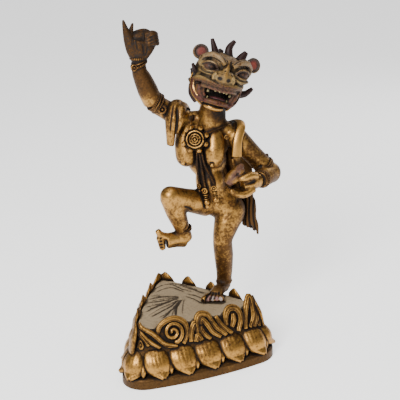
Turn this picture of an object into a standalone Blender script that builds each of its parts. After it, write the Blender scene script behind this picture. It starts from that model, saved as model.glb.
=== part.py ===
"""A lion-faced dakini dancing on one foot on a three-cornered lotus base, cast in bronze and gilt.

Metres, +Z up. The origin is on the underside, at the middle of the three-cornered base. The figure faces -Y.
The figure keeps its pose as shares of its own height, and the base has its own sizes.
"""

import math

import bmesh
import bpy
from mathutils import Euler, Matrix, Vector

MM = 0.001

# Driving dimensions of the figure, from the sole of the standing foot to the raised fingertip.
FIGURE_HEIGHT = 259 * MM
STAND_X = 40 * MM
STAND_Y = 10 * MM
SEAT_GAP = 0.3 * MM
FOOT_ROOM = 1.0 * MM
FIGURE_TRIANGLES = 6200
FIGURE_VOXEL = 0.9 * MM

# Driving dimensions of the base.
BASE_HEIGHT = 50 * MM
BASE_CORNER_REACH = 79 * MM
BASE_CORNER_ROUND = 21 * MM
BASE_SIDE_BULGE_DEG = 19
PLINTH_HEIGHT = 9 * MM
PLINTH_EDGE_ROUND = 1.5 * MM
PETAL_TOP_LEVEL = 31 * MM
PETAL_TIP_LEVEL = 9.5 * MM
PETAL_TIP_REACH = 3.5 * MM
PETAL_BELLY = 3.0 * MM
PETAL_THICKNESS = 3.4 * MM
PETAL_CROWN = 4.6 * MM
PETAL_LEAN = 0.03
LOWER_PETALS_PER_SIDE = 6
UPPER_PETALS_PER_SIDE = 5
UPPER_PETAL_RISE = 8 * MM
UPPER_PETAL_HALF_WIDTH = 10 * MM
TOP_INSET = 17.5 * MM
PETAL_CORE_INSET = 8.5 * MM
FRIEZE_INSET = 10.5 * MM
SCROLL_RADIUS = 2.2 * MM
SCROLL_FLAT = 0.66
RIB_RADIUS = 1.1 * MM
TOP_FOLDS = 9
BASE_TRIANGLES = 3400
BASE_VOXEL = 0.9 * MM

GILT_COLOUR = (0.52, 0.33, 0.10, 1.0)
BASE_COLOUR = (0.46, 0.30, 0.11, 1.0)


def material(name, colour, roughness, metallic):
    """A plain metal finish."""
    made = bpy.data.materials.new(name)
    made.use_nodes = True
    shader = made.node_tree.nodes["Principled BSDF"]
    shader.inputs["Base Color"].default_value = colour
    shader.inputs["Roughness"].default_value = roughness
    shader.inputs["Metallic"].default_value = metallic
    return made


def clear_scene():
    for obj in list(bpy.data.objects):
        bpy.data.objects.remove(obj)


def new_collection(name):
    made = bpy.data.collections.new(name)
    bpy.context.scene.collection.children.link(made)
    return made


def mesh_object(name, bm, collection):
    mesh = bpy.data.meshes.new(name)
    bm.to_mesh(mesh)
    bm.free()
    obj = bpy.data.objects.new(name, mesh)
    collection.objects.link(obj)
    return obj


class Shapes:
    """Closed shapes gathered in one bmesh, which a voxel remesh then fuses into one casting."""

    def __init__(self, grow=0.0):
        """grow widens every ball and tube, for a cutter that leaves room round them."""
        self.bm = bmesh.new()
        self.grow = grow

    def ball(self, centre, radii, turn=(0, 0, 0), cut=14):
        """An ellipsoid with its three radii, turned by degrees about X, Y and Z."""
        rotation = Euler([math.radians(t) for t in turn]).to_matrix().to_4x4()
        grown = [r + self.grow for r in radii]
        place = Matrix.Translation(centre) @ rotation @ Matrix.Diagonal((*grown, 1))
        bmesh.ops.create_uvsphere(self.bm, u_segments=cut, v_segments=cut // 2 + 1, radius=1, matrix=place)

    def tube(self, stations, sides=12, steps=4, flat=1.0, flat_axis=None):
        """A round-ended tube through (point, radius) stations. flat squeezes its section along flat_axis."""
        path = smooth_path(stations, steps)
        rings = []
        count = len(path)
        side = None
        for k, (point, radius) in enumerate(path):
            radius += self.grow
            ahead = path[min(k + 1, count - 1)][0] - path[max(k - 1, 0)][0]
            ahead.normalize()
            if side is None:
                hint = Vector(flat_axis) if flat_axis else ahead.orthogonal()
                side = hint
            side = (side - ahead * side.dot(ahead)).normalized()
            other = ahead.cross(side)
            ring = []
            for s in range(sides):
                angle = 2 * math.pi * s / sides
                offset = side * (math.cos(angle) * radius * flat) + other * (math.sin(angle) * radius)
                ring.append(self.bm.verts.new(point + offset))
            rings.append(ring)
        for low, high in zip(rings, rings[1:]):
            for s in range(sides):
                t = (s + 1) % sides
                self.bm.faces.new((low[s], low[t], high[t], high[s]))
        self.bm.faces.new(list(reversed(rings[0])))
        self.bm.faces.new(rings[-1])

    def plate(self, rows, thickness):
        """A sheet through rows of points, given a wall by offsetting it along its own normals."""
        front, back = [], []
        for i, row in enumerate(rows):
            front_row, back_row = [], []
            for j, point in enumerate(row):
                up = rows[min(i + 1, len(rows) - 1)][j] - rows[max(i - 1, 0)][j]
                across = row[min(j + 1, len(row) - 1)] - row[max(j - 1, 0)]
                normal = up.cross(across).normalized() * (thickness / 2)
                front_row.append(self.bm.verts.new(point + normal))
                back_row.append(self.bm.verts.new(point - normal))
            front.append(front_row)
            back.append(back_row)
        last_row, last_column = len(rows) - 1, len(rows[0]) - 1
        for i in range(last_row):
            for j in range(last_column):
                a, b = front[i][j], front[i][j + 1]
                c, d = front[i + 1][j + 1], front[i + 1][j]
                self.bm.faces.new((a, b, c, d))
                a, b = back[i][j], back[i][j + 1]
                c, d = back[i + 1][j + 1], back[i + 1][j]
                self.bm.faces.new((d, c, b, a))
        rim = [(0, j) for j in range(last_column)]
        rim += [(i, last_column) for i in range(last_row)]
        rim += [(last_row, j) for j in range(last_column, 0, -1)]
        rim += [(i, 0) for i in range(last_row, 0, -1)]
        for (i, j), (k, m) in zip(rim, rim[1:] + rim[:1]):
            self.bm.faces.new((front[k][m], front[i][j], back[i][j], back[k][m]))

    def finish(self, name, collection):
        bmesh.ops.recalc_face_normals(self.bm, faces=self.bm.faces)
        return mesh_object(name, self.bm, collection)


def smooth_path(stations, steps):
    """(point, radius) pairs along a Catmull-Rom curve through the stations."""
    points = [(Vector(p), r) for p, r in stations]
    if len(points) < 3:
        return points
    path = []
    last = len(points) - 1
    for k in range(last):
        p0, r0 = points[max(k - 1, 0)]
        p1, r1 = points[k]
        p2, r2 = points[k + 1]
        p3, r3 = points[min(k + 2, last)]
        for s in range(steps):
            t = s / steps
            weights = (
                -0.5 * t + t * t - 0.5 * t**3,
                1 - 2.5 * t * t + 1.5 * t**3,
                0.5 * t + 2 * t * t - 1.5 * t**3,
                -0.5 * t * t + 0.5 * t**3,
            )
            point = p0 * weights[0] + p1 * weights[1] + p2 * weights[2] + p3 * weights[3]
            path.append((point, r1 + (r2 - r1) * t))
    path.append(points[-1])
    return path


def cut_flat(obj, level, keep_above=True):
    """Cuts the mesh flat at a level and closes it there."""
    bm = bmesh.new()
    bm.from_mesh(obj.data)
    normal = Vector((0, 0, -1)) if keep_above else Vector((0, 0, 1))
    parts = bm.verts[:] + bm.edges[:] + bm.faces[:]
    cut = bmesh.ops.bisect_plane(bm, geom=parts, plane_co=(0, 0, level), plane_no=normal, clear_outer=True)
    rim = [e for e in cut["geom_cut"] if isinstance(e, bmesh.types.BMEdge)]
    bmesh.ops.holes_fill(bm, edges=rim, sides=0)
    bmesh.ops.triangulate(bm, faces=[f for f in bm.faces if len(f.verts) > 4])
    bm.to_mesh(obj.data)
    bm.free()


def apply_modifiers(obj):
    graph = bpy.context.evaluated_depsgraph_get()
    obj.data = bpy.data.meshes.new_from_object(obj.evaluated_get(graph))
    obj.modifiers.clear()


def fuse(obj, voxel, smoothing):
    """Makes the overlapping shapes one closed skin, softened where they meet."""
    remesh = obj.modifiers.new("one casting", "REMESH")
    remesh.mode = "VOXEL"
    remesh.voxel_size = voxel
    soften = obj.modifiers.new("soften", "SMOOTH")
    soften.factor = 0.5
    soften.iterations = smoothing
    apply_modifiers(obj)


def lighten(obj, triangles):
    """Thins the skin to about this many triangles."""
    count = sum(len(p.vertices) - 2 for p in obj.data.polygons)
    thin = obj.modifiers.new("thin", "DECIMATE")
    thin.ratio = min(1.0, triangles / count)
    apply_modifiers(obj)


def largest_body(obj):
    """Drops specks that the remesh may leave beside the casting."""
    bm = bmesh.new()
    bm.from_mesh(obj.data)
    bm.verts.ensure_lookup_table()
    seen, groups = set(), []
    for start in bm.verts:
        if start.index in seen:
            continue
        group, queue = [], [start]
        seen.add(start.index)
        while queue:
            vert = queue.pop()
            group.append(vert)
            for edge in vert.link_edges:
                other = edge.other_vert(vert)
                if other.index not in seen:
                    seen.add(other.index)
                    queue.append(other)
        groups.append(group)
    groups.sort(key=len)
    for group in groups[:-1]:
        bmesh.ops.delete(bm, geom=group, context="VERTS")
    bm.to_mesh(obj.data)
    bm.free()


# The base: its outline, seen from above, is a triangle with bulging sides and round corners.


def outline_arcs():
    """The arcs of the outline as (centre, radius, start angle, turn), anticlockwise from the first corner."""
    bulge = math.radians(BASE_SIDE_BULGE_DEG)
    corner_turn = math.radians(120) - bulge
    corner_centre = BASE_CORNER_REACH - BASE_CORNER_ROUND
    reach = corner_centre * math.sin(math.radians(60)) / math.sin(bulge / 2)
    setback = reach * math.cos(bulge / 2) - corner_centre * 0.5
    arcs = []
    for corner_deg in (210, 330, 90):
        corner = math.radians(corner_deg)
        centre = Vector((math.cos(corner), math.sin(corner), 0)) * corner_centre
        arcs.append((centre, BASE_CORNER_ROUND, corner - corner_turn / 2, corner_turn))
        side = corner + math.radians(60)
        centre = Vector((math.cos(side), math.sin(side), 0)) * -setback
        arcs.append((centre, reach + BASE_CORNER_ROUND, side - bulge / 2, bulge))
    return arcs


def wall_point(around, inset, level):
    """A point of the base's wall and its outward direction. around is 0 to 3: 0, 1 and 2 are the corners."""
    arcs = outline_arcs()
    lengths = [radius * turn for _, radius, _, turn in arcs]
    along = (around % 3) * (lengths[0] + lengths[1]) + lengths[0] / 2
    along %= sum(lengths)
    for (centre, radius, start, turn), length in zip(arcs, lengths):
        if along <= length:
            break
        along -= length
    angle = start + turn * along / length
    outward = Vector((math.cos(angle), math.sin(angle), 0))
    return centre + outward * (radius - inset) + Vector((0, 0, level)), outward


def base_core(shapes):
    """The body under the petals: plinth, waist behind the petals, sloping frieze and flat top."""
    below = -3 * MM
    profile = [
        (0, below),
        (0, PLINTH_HEIGHT - PLINTH_EDGE_ROUND),
        (PLINTH_EDGE_ROUND, PLINTH_HEIGHT),
        (PETAL_CORE_INSET, PLINTH_HEIGHT + 2 * MM),
        (PETAL_CORE_INSET - 2 * MM, (PETAL_TOP_LEVEL + PETAL_TIP_LEVEL) / 2),
        (FRIEZE_INSET, PETAL_TOP_LEVEL),
        (TOP_INSET, BASE_HEIGHT),
    ]
    around = [3 * k / 96 for k in range(96)]
    rings = []
    for inset, level in profile:
        rings.append([shapes.bm.verts.new(wall_point(a, inset, level)[0]) for a in around])
    for low, high in zip(rings, rings[1:]):
        for k in range(len(around)):
            m = (k + 1) % len(around)
            shapes.bm.faces.new((low[k], low[m], high[m], high[k]))
    shapes.bm.faces.new(list(reversed(rings[0])))
    shapes.bm.faces.new(rings[-1])


def petal_place(k):
    """Where a lower petal stands and its half width, as shares of a side. The front left one is broad."""
    if k == 0:
        return -0.025, 0.117
    return (k + 0.11) / LOWER_PETALS_PER_SIDE, 0.5 / LOWER_PETALS_PER_SIDE


def petal_taper(t):
    """How the width of a lower petal closes to its tip, as a share, for t from 0 at the top to 1."""
    u = max(0.0, (t - 0.56) / 0.44)
    return max(0.05, (1 - u**2.1) ** 0.8)


def lower_petal(shapes, around, half_width):
    """A broad petal, round across, that bulges out and comes down to a short point turned outwards."""
    rows = []
    steps, across = 8, 8
    for i in range(steps + 1):
        t = i / steps
        level = PETAL_TOP_LEVEL + (PETAL_TIP_LEVEL - PETAL_TOP_LEVEL) * t
        inset = FRIEZE_INSET * (1 - t) ** 1.6 - PETAL_BELLY * math.sin(math.pi * min(1, 1.15 * t + 0.08))
        inset += PETAL_THICKNESS / 2 - PETAL_TIP_REACH * t**6
        width = half_width * (0.93 + 0.07 * math.sin(math.pi * t)) * petal_taper(t)
        lean = PETAL_LEAN * t**3
        row = []
        for j in range(across + 1):
            v = 2 * j / across - 1
            sunk = inset + PETAL_CROWN * abs(v) ** 2.4 * (1 - 0.5 * t**4)
            row.append(wall_point(around + lean + v * width, sunk, level)[0])
        rows.append(row)
    shapes.plate(rows, PETAL_THICKNESS)


def petal_between(shapes, around):
    """The tip of the petal behind, seen between two petals of the lower row."""
    low, _ = wall_point(around, 3.0 * MM, PETAL_TIP_LEVEL + 0.5 * MM)
    middle, _ = wall_point(around, 4.2 * MM, PETAL_TIP_LEVEL + 5 * MM)
    high, _ = wall_point(around, 7.5 * MM, PETAL_TIP_LEVEL + 11 * MM)
    shapes.tube([(high, 2.6 * MM), (middle, 2.8 * MM), (low, 0.6 * MM)], sides=8, steps=3)


def upper_petal(shapes, around, half_width):
    """A leaf-shaped petal that stands up from the frieze and shows its point above the top."""
    foot, outward = wall_point(around, FRIEZE_INSET, PETAL_TOP_LEVEL - 2 * MM)
    half_way = (FRIEZE_INSET + TOP_INSET) / 2 - 1 * MM, (PETAL_TOP_LEVEL + BASE_HEIGHT) / 2 + 2 * MM
    middle, _ = wall_point(around, *half_way)
    neck, _ = wall_point(around, TOP_INSET - 2 * MM, BASE_HEIGHT + 1.5 * MM)
    tip, _ = wall_point(around, TOP_INSET - 2 * MM, BASE_HEIGHT + UPPER_PETAL_RISE)
    stations = [(foot, half_width), (middle, half_width), (neck, half_width * 0.72), (tip, half_width * 0.07)]
    shapes.tube(stations, sides=12, steps=4, flat=0.32, flat_axis=outward)


def frieze_point(along, up, lift):
    """A point on the front frieze: along runs 0 to 1 from left corner to right, up 0 to 1 to the top."""
    inset = FRIEZE_INSET + (TOP_INSET - FRIEZE_INSET) * up
    level = PETAL_TOP_LEVEL + (BASE_HEIGHT - PETAL_TOP_LEVEL) * up
    point, outward = wall_point(along, inset, level)
    return point + (outward + Vector((0, 0, 0.35))).normalized() * lift


def strand(shapes, stops, thick=1.0):
    """A scroll's strand on the frieze, through (along, up) stops, thick in the middle."""
    count = len(stops) - 1
    stations = []
    for k, (along, up) in enumerate(stops):
        swell = 0.65 + 0.5 * math.sin(math.pi * (k + 0.3) / (count + 0.6))
        stations.append((frieze_point(along, up, SCROLL_RADIUS * 0.5), SCROLL_RADIUS * swell * thick))
    _, outward = wall_point(stops[0][0], 0, 0)
    shapes.tube(stations, sides=8, steps=4, flat=SCROLL_FLAT, flat_axis=outward)


def coil(shapes, along, up, size, turns, start_deg, mirror=1, thick=1.0):
    """A coiled scroll on the frieze, of radius size, wound inwards."""
    side_length = (wall_point(0.52, 0, 0)[0] - wall_point(0.48, 0, 0)[0]).length / 0.04
    slope = math.hypot(TOP_INSET - FRIEZE_INSET, BASE_HEIGHT - PETAL_TOP_LEVEL)
    stations = []
    count = int(12 * turns)
    for k in range(count + 1):
        t = k / count
        angle = math.radians(start_deg) + mirror * 2 * math.pi * turns * t
        radius = size * (1 - 0.88 * t)
        place = along + math.cos(angle) * radius / side_length, up + math.sin(angle) * radius / slope
        stations.append((frieze_point(*place, (0.7 + 0.9 * t) * MM), SCROLL_RADIUS * thick * (1 - 0.25 * t)))
    shapes.tube(stations, sides=8, steps=1)


def front_scrolls(shapes):
    """The cloud scrolls and leaf strands along the front, between the petals and the top."""
    coil(shapes, 0.315, 0.68, 10 * MM, 1.8, 270, thick=1.0)
    coil(shapes, 0.075, 0.30, 5.0 * MM, 1.5, 200, mirror=-1, thick=0.65)
    strand(shapes, [(-0.03, 1.25), (0.10, 1.05), (0.19, 0.70), (0.25, 0.25), (0.33, 0.05)], 1.2)
    strand(shapes, [(-0.05, 1.02), (0.07, 0.85), (0.15, 0.50), (0.22, 0.10)], 1.1)
    strand(shapes, [(-0.06, 0.75), (-0.03, 0.95), (0.04, 0.80), (0.11, 0.62), (0.15, 0.25)], 0.9)
    strand(shapes, [(-0.08, 1.15), (-0.12, 0.75), (-0.10, 0.25)], 1.1)
    arch = [(0.205, 0.55), (0.235, 1.0), (0.29, 1.22), (0.35, 1.22), (0.40, 0.95), (0.405, 0.5), (0.37, 0.1)]
    strand(shapes, arch, 1.1)
    strand(shapes, [(0.42, 0.12), (0.435, 0.6), (0.465, 0.88), (0.475, 0.5)], 1.2)
    strand(shapes, [(0.45, 0.08), (0.47, 0.34), (0.49, 0.08)], 1.2)
    strand(shapes, [(0.475, 0.35), (0.475, 0.90), (0.505, 1.20), (0.555, 1.12), (0.575, 0.80)], 1.2)
    strand(shapes, [(0.50, 0.75), (0.515, 0.98), (0.545, 0.70), (0.57, 0.35), (0.62, 0.04)], 1.1)
    strand(shapes, [(0.50, 0.72), (0.505, 0.42), (0.55, 0.06)], 1.0)
    strand(shapes, [(0.575, 0.88), (0.60, 0.50), (0.66, 0.06)], 1.1)
    strand(shapes, [(0.61, 0.96), (0.64, 0.52), (0.70, 0.06)], 1.0)
    arch = [(0.67, 0.45), (0.68, 0.90), (0.715, 1.16), (0.765, 1.04), (0.78, 0.60), (0.745, 0.08)]
    strand(shapes, arch, 1.3)
    strand(shapes, [(0.735, 0.90), (0.725, 0.60), (0.705, 0.34)], 1.2)
    leaf = [(0.80, 0.08), (0.815, 0.65), (0.85, 1.20), (0.90, 1.42), (0.91, 1.0), (0.875, 0.5), (0.83, 0.1)]
    strand(shapes, leaf, 1.2)
    strand(shapes, [(0.86, 0.06), (0.92, 0.45), (0.97, 0.95)], 1.2)
    strand(shapes, [(0.92, 0.02), (0.98, 0.35), (1.03, 0.85)], 1.1)


def fold_line(k):
    """One of the folds on top: three points from where they gather towards its end. k may be between two."""
    gather = Vector((4 * MM, 14 * MM, BASE_HEIGHT))
    angle = math.radians(138 + 13.6 * k)
    reach = (BASE_CORNER_REACH - TOP_INSET) * (0.50 + 0.27 * math.exp(-((angle - 3.75) / 0.52) ** 2))
    tip = gather + Vector((math.cos(angle), math.sin(angle), 0)) * reach
    bend = Vector((-math.sin(angle), math.cos(angle), 0)) * reach * 0.07 * math.sin(2.2 * k + 1)
    return gather * 0.86 + tip * 0.14, gather * 0.45 + tip * 0.55 + bend, tip


def top_ribs(shapes):
    """The folds on top, which fan out from one place towards the left and the front, as low ridges."""
    for k in range(TOP_FOLDS):
        start, middle, tip = fold_line(k)
        shapes.tube([(start, 0.6 * MM), (middle, RIB_RADIUS), (tip, 0.9 * MM)], sides=8, steps=5)


def foot_room(collection):
    """The room that the petals and folds leave round the standing foot."""
    shapes = Shapes(FOOT_ROOM)
    standing_foot(shapes)
    cutter = shapes.finish("foot_room", collection)
    fuse(cutter, BASE_VOXEL, 1)
    cut_flat(cutter, BASE_HEIGHT + SEAT_GAP / 2)
    cutter.hide_render = True
    cutter.display_type = "WIRE"
    return cutter


def build_base(collection, cutters, finish):
    shapes = Shapes()
    base_core(shapes)
    for k in range(3 * LOWER_PETALS_PER_SIDE):
        around, half = petal_place(k)
        lower_petal(shapes, around, half)
        petal_between(shapes, around + half)
    for k in range(UPPER_PETALS_PER_SIDE, 3 * UPPER_PETALS_PER_SIDE):
        upper_petal(shapes, (k + 0.45) / UPPER_PETALS_PER_SIDE, UPPER_PETAL_HALF_WIDTH)
    front_scrolls(shapes)
    top_ribs(shapes)
    base = shapes.finish("lotus_base", collection)
    fuse(base, BASE_VOXEL, 2)
    largest_body(base)
    lighten(base, BASE_TRIANGLES)
    cut = base.modifiers.new("room for the foot", "BOOLEAN")
    cut.operation = "DIFFERENCE"
    cut.solver = "EXACT"
    cut.object = foot_room(cutters)
    apply_modifiers(base)
    largest_body(base)
    cut_flat(base, 0)
    base.data.materials.append(finish)
    return base


# The figure: every place is a share of its height, in hundredths, from the sole of the standing foot.

POSE = {
    "ankle_l": (1.5, 0.1, 4.0),
    "calf_low": (1.6, -0.5, 8.0),
    "calf_l": (1.1, -2.0, 14.5),
    "knee_l": (0.5, -3.4, 20.8),
    "thigh_l": (2.2, -2.9, 25.6),
    "hip_l": (4.6, -1.4, 30.6),
    "pelvis": (1.9, 0.2, 33.6),
    "hip_r": (-2.9, 1.2, 33.6),
    "thigh_r": (-11.0, -1.6, 37.0),
    "knee_r": (-18.2, -4.0, 40.4),
    "shin_r": (-15.9, -2.9, 33.9),
    "ankle_r": (-13.4, -1.2, 26.8),
    "heel_r": (-12.0, -0.1, 22.3),
    "ball_r": (-19.4, -0.6, 23.1),
    "waist": (-1.2, 0.4, 42.1),
    "chest": (-1.8, 1.6, 54.0),
    "neck_base": (0.5, 1.5, 62.4),
    "neck_top": (1.3, 0.0, 69.3),
    "head": (2.8, -2.9, 78.0),
    "shoulder_r": (-8.6, 6.0, 64.0),
    "elbow_r": (-18.2, 6.2, 70.9),
    "wrist_low": (-22.7, 4.4, 82.4),
    "wrist_r": (-22.8, 4.4, 86.3),
    "shoulder_l": (7.6, -2.6, 57.0),
    "elbow_l": (19.2, -4.6, 42.7),
    "wrist_l": (12.4, -10.7, 42.7),
    "palm_l": (8.4, -12.0, 42.6),
    "rosette": (-7.2, -2.8, 58.4),
}
HEAD_TURN_DEG = -12
HEAD_LEAN_DEG = 20
HEAD_RAISE_DEG = 8
NOSE_ASIDE = -1.0
TORSO_TURN_DEG = -40


def share(value):
    return value * FIGURE_HEIGHT / 100


def spot(place):
    """The point of the row frame at a place of the figure, by name or as shares."""
    shares = POSE[place] if isinstance(place, str) else place
    foot = Vector((STAND_X, STAND_Y, BASE_HEIGHT + SEAT_GAP))
    return foot + Vector(shares) * (FIGURE_HEIGHT / 100)


def limb(shapes, stations, **options):
    shapes.tube([(spot(place), share(radius)) for place, radius in stations], **options)


def lump(shapes, place, radii, turn=(0, 0, 0), cut=14):
    shapes.ball(spot(place), [share(r) for r in radii], turn, cut)


def between(a, b, t):
    """The shares at t of the way from one place to another."""
    a = Vector(POSE[a] if isinstance(a, str) else a)
    b = Vector(POSE[b] if isinstance(b, str) else b)
    return tuple(a.lerp(b, t))


def turned(across, forwards, turn_deg):
    """The step in X and Y that goes across and forwards for a body turned about Z."""
    turn = math.radians(turn_deg)
    return Vector((
        math.cos(turn) * across + math.sin(turn) * forwards,
        math.sin(turn) * across - math.cos(turn) * forwards,
        0,
    ))


def chest_point(across, level, forwards):
    """A point by the front of the torso, in shares: across to the figure's left, forwards from its axis."""
    axis = Vector(between("waist", "chest", (level - 42.1) / 11.9))
    return tuple(axis + turned(across, forwards, TORSO_TURN_DEG))


def torso(shapes):
    turn = (0, 0, TORSO_TURN_DEG)
    lump(shapes, "pelvis", (7.4, 5.6, 5.6), (0, 0, -20))
    lump(shapes, (0.2, 1.0, 37.6), (6.2, 5.2, 5.4), (0, 0, -28))
    lump(shapes, chest_point(0, 42, 0.6), (5.3, 4.6, 7.0), turn)
    lump(shapes, chest_point(-0.4, 50, 0.2), (7.2, 5.2, 7.2), turn)
    lump(shapes, chest_point(-1.0, 56.0, -0.2), (9.4, 5.8, 6.8), (0, 12, TORSO_TURN_DEG))
    lump(shapes, (-0.2, 2.0, 61.2), (7.8, 3.8, 3.6), (0, 18, TORSO_TURN_DEG + 10))
    limb(shapes, [("chest", 5.0), ("neck_base", 5.1), ("neck_top", 4.3), ("head", 4.2)])
    lump(shapes, (-4.4, 4.2, 63.6), (5.2, 3.4, 2.8), (0, -4, -30))
    lump(shapes, (4.8, -0.4, 59.8), (4.6, 3.2, 2.8), (0, 34, -30))
    lump(shapes, "shoulder_r", (4.0, 3.9, 3.8))
    lump(shapes, "shoulder_l", (3.8, 3.8, 3.8))
    for breast in (
        ((-5.4, 59.6, 1.2, 3.9), (-5.8, 55.6, 3.2, 4.1), (-5.9, 51.7, 4.2, 3.9)),
        ((3.8, 58.0, 1.4, 3.6), (4.1, 54.0, 3.3, 3.7), (4.1, 51.2, 4.1, 3.3)),
    ):
        limb(shapes, [(chest_point(*place), radius) for *place, radius in breast])
        for *place, radius in breast[::2]:
            lump(shapes, chest_point(*place), (radius, radius, radius), cut=16)
    for across, level in ((-6.6, 49.8), (3.9, 49.6)):
        lump(shapes, chest_point(across, level, 7.2), (0.8, 0.8, 0.8), cut=8)
    lump(shapes, (2.9, -6.0, 58.5), (0.7, 0.6, 0.7), cut=8)


def legs(shapes):
    limb(shapes, [
        ("pelvis", 5.4), ("hip_l", 5.5), ("thigh_l", 4.4), ("knee_l", 3.45), ("calf_l", 3.45),
        ("calf_low", 2.95), ("ankle_l", 2.6),
    ])
    lump(shapes, (0.2, -4.6, 21.4), (2.7, 2.2, 2.4))
    limb(shapes, [("hip_r", 4.8), ("thigh_r", 4.0), ("knee_r", 3.5)])
    lump(shapes, (-18.0, -4.2, 40.5), (3.5, 3.5, 3.4))
    limb(shapes, [("knee_r", 3.5), ("shin_r", 3.5), ("ankle_r", 2.6), ("heel_r", 2.5)])
    foot = [("heel_r", 3.0), ((-15.6, -0.5, 23.1), 2.9), ("ball_r", 2.8)]
    limb(shapes, foot, flat=0.8, flat_axis=(0, 1, 0))


def standing_foot(shapes):
    """The foot on the base, its five toes spread forwards, and the ring round its ankle."""
    limb(shapes, [("calf_low", 2.95), ("ankle_l", 2.6), ((1.4, 0.2, 2.2), 2.5), ((1.2, -0.2, 0.9), 2.2)])
    sole = [((1.2, -0.6, 1.6), 2.2), ((-1.8, -3.2, 2.2), 2.4), ((-4.8, -6.0, 1.3), 2.4)]
    limb(shapes, sole, flat=0.8, flat_axis=(0, 0, 1))
    bead_ring(shapes, (1.5, 0.1, 3.6), (0, 0, 1), 2.6, 0.6)
    for k in range(5):
        spread = k - 1.8
        root = Vector((-4.8, -6.0, 1.4)) + turned(1.15 * spread, 0.4, -42)
        tip = root + turned(0.55 * spread, 3.3 - 0.4 * k, -42) - Vector((0, 0, 0.5))
        radius = 1.25 if k == 0 else 0.95
        middle = between(root, tip, 0.6)
        limb(shapes, [(tuple(root), radius), (middle, radius), (tuple(tip), radius * 0.8)], sides=8)


def raised_toes(shapes):
    """The raised foot's big toe turned up, and the others curled one above another."""
    big_toe = [((-19.0, -0.8, 24.8), 1.4), ((-21.2, -0.9, 25.8), 1.35), ((-22.4, -0.8, 27.9), 0.9)]
    limb(shapes, big_toe, sides=8)
    for k in range(4):
        level = 24.6 - 1.15 * k
        knuckle, tip = (-22.0 + 0.25 * k, -1.0, level + 0.2), (-21.8 + 0.25 * k, -2.2, level)
        limb(shapes, [((-20.2, -0.7, level), 1.1), (knuckle, 1.05), (tip, 0.8)], sides=8)


def arms(shapes):
    limb(shapes, [("shoulder_r", 3.9), (between("shoulder_r", "elbow_r", 0.5), 3.4), ("elbow_r", 3.2)])
    forearm = [(between("elbow_r", "wrist_low", 0.4), 3.5), (between("elbow_r", "wrist_low", 0.8), 3.05)]
    limb(shapes, [("elbow_r", 3.3), *forearm, ("wrist_low", 2.6), ("wrist_r", 2.3)])
    limb(shapes, [("shoulder_l", 3.9), (between("shoulder_l", "elbow_l", 0.5), 3.4), ("elbow_l", 3.5)])
    lump(shapes, "elbow_l", (3.8, 3.8, 3.8))
    limb(shapes, [("elbow_l", 3.7), (between("elbow_l", "wrist_l", 0.55), 3.3), ("wrist_l", 2.4)])


def raised_hand(shapes):
    """A fist turned palm up, wide at the top: the forefinger points up, the others curl over at the right."""
    wrist = ("wrist_r", 2.3)
    forefinger = [((-25.4, 4.4, 93.6), 1.9), ((-26.4, 4.0, 96.6), 1.1), ((-27.0, 4.2, 100.0), 0.3)]
    limb(shapes, [wrist, ((-24.4, 4.4, 90.0), 2.3), *forefinger])
    limb(shapes, [wrist, ((-22.5, 3.8, 90.0), 2.9), ((-22.2, 3.0, 93.4), 2.5)])
    limb(shapes, [wrist, ((-20.9, 3.2, 90.0), 2.4), ((-19.2, 2.6, 93.4), 2.0)])
    limb(shapes, [wrist, ((-20.0, 2.9, 89.8), 2.1), ((-18.0, 2.2, 92.6), 1.7)])
    limb(shapes, [((-25.0, 4.0, 93.5), 1.2), ((-24.6, 4.3, 96.0), 0.9), ((-23.7, 4.4, 98.6), 0.3)], sides=8)
    lump(shapes, (-21.0, 3.6, 93.4), (4.2, 1.7, 2.3), (0, 4, -8))
    folded = [((-22.2, 4.9, 95.2), 1.0), ((-19.8, 4.4, 95.4), 1.0), ((-18.4, 3.4, 94.6), 0.9)]
    limb(shapes, [((-24.0, 4.7, 94.4), 1.1), *folded], sides=8)
    for k in range(4):
        level, ahead = 95.0 - 0.95 * k, 0.3 * k
        root, knuckle = (-20.4, 2.4 - ahead, level - 0.6), (-18.2, 1.4 - ahead, level)
        limb(shapes, [(root, 1.2), (knuckle, 1.0), ((-16.6, 2.2 - ahead, level - 0.7), 0.8)], sides=8)


def cup_hand(shapes):
    """The left hand, palm up, holds a small skull cup between its thumb and its long lower fingers."""
    palm = [("wrist_l", 2.4), ("palm_l", 2.8), ((5.4, -12.2, 42.2), 2.2)]
    limb(shapes, palm, flat=0.75, flat_axis=(0, 1, 0.3))
    thumb = [((8.0, -13.0, 45.6), 1.5), ((5.6, -13.8, 45.5), 1.2), ((2.8, -13.2, 45.2), 0.6)]
    limb(shapes, [((10.4, -11.6, 44.6), 1.7), *thumb], sides=10)
    for k in range(4):
        y = -14.2 + 1.3 * k
        finger = [((5.4, y + 0.4, 39.8), 1.25), ((2.4, y + 0.6, 40.4), 1.1), ((0.5, y + 1.2, 41.9), 0.7)]
        limb(shapes, [((9.0, y + 1.2, 41.0), 1.4), *finger], sides=8)
    cup = [((1.8, -11.4, 45.4), 2.2), ((4.0, -11.1, 47.2), 2.0), ((6.3, -11.1, 49.6), 0.6)]
    limb(shapes, [((0.4, -11.2, 43.6), 1.5), *cup], sides=10)


def head_frame():
    """The head's own frame: X to its left, Y to its back, Z up, before its shares are scaled."""
    yaw = Matrix.Rotation(math.radians(HEAD_TURN_DEG), 4, "Z")
    lean = Matrix.Rotation(math.radians(HEAD_LEAN_DEG), 4, "Y")
    rise = Matrix.Rotation(math.radians(-HEAD_RAISE_DEG), 4, "X")
    return Matrix.Translation(spot("head")) @ yaw @ lean @ rise


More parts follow.
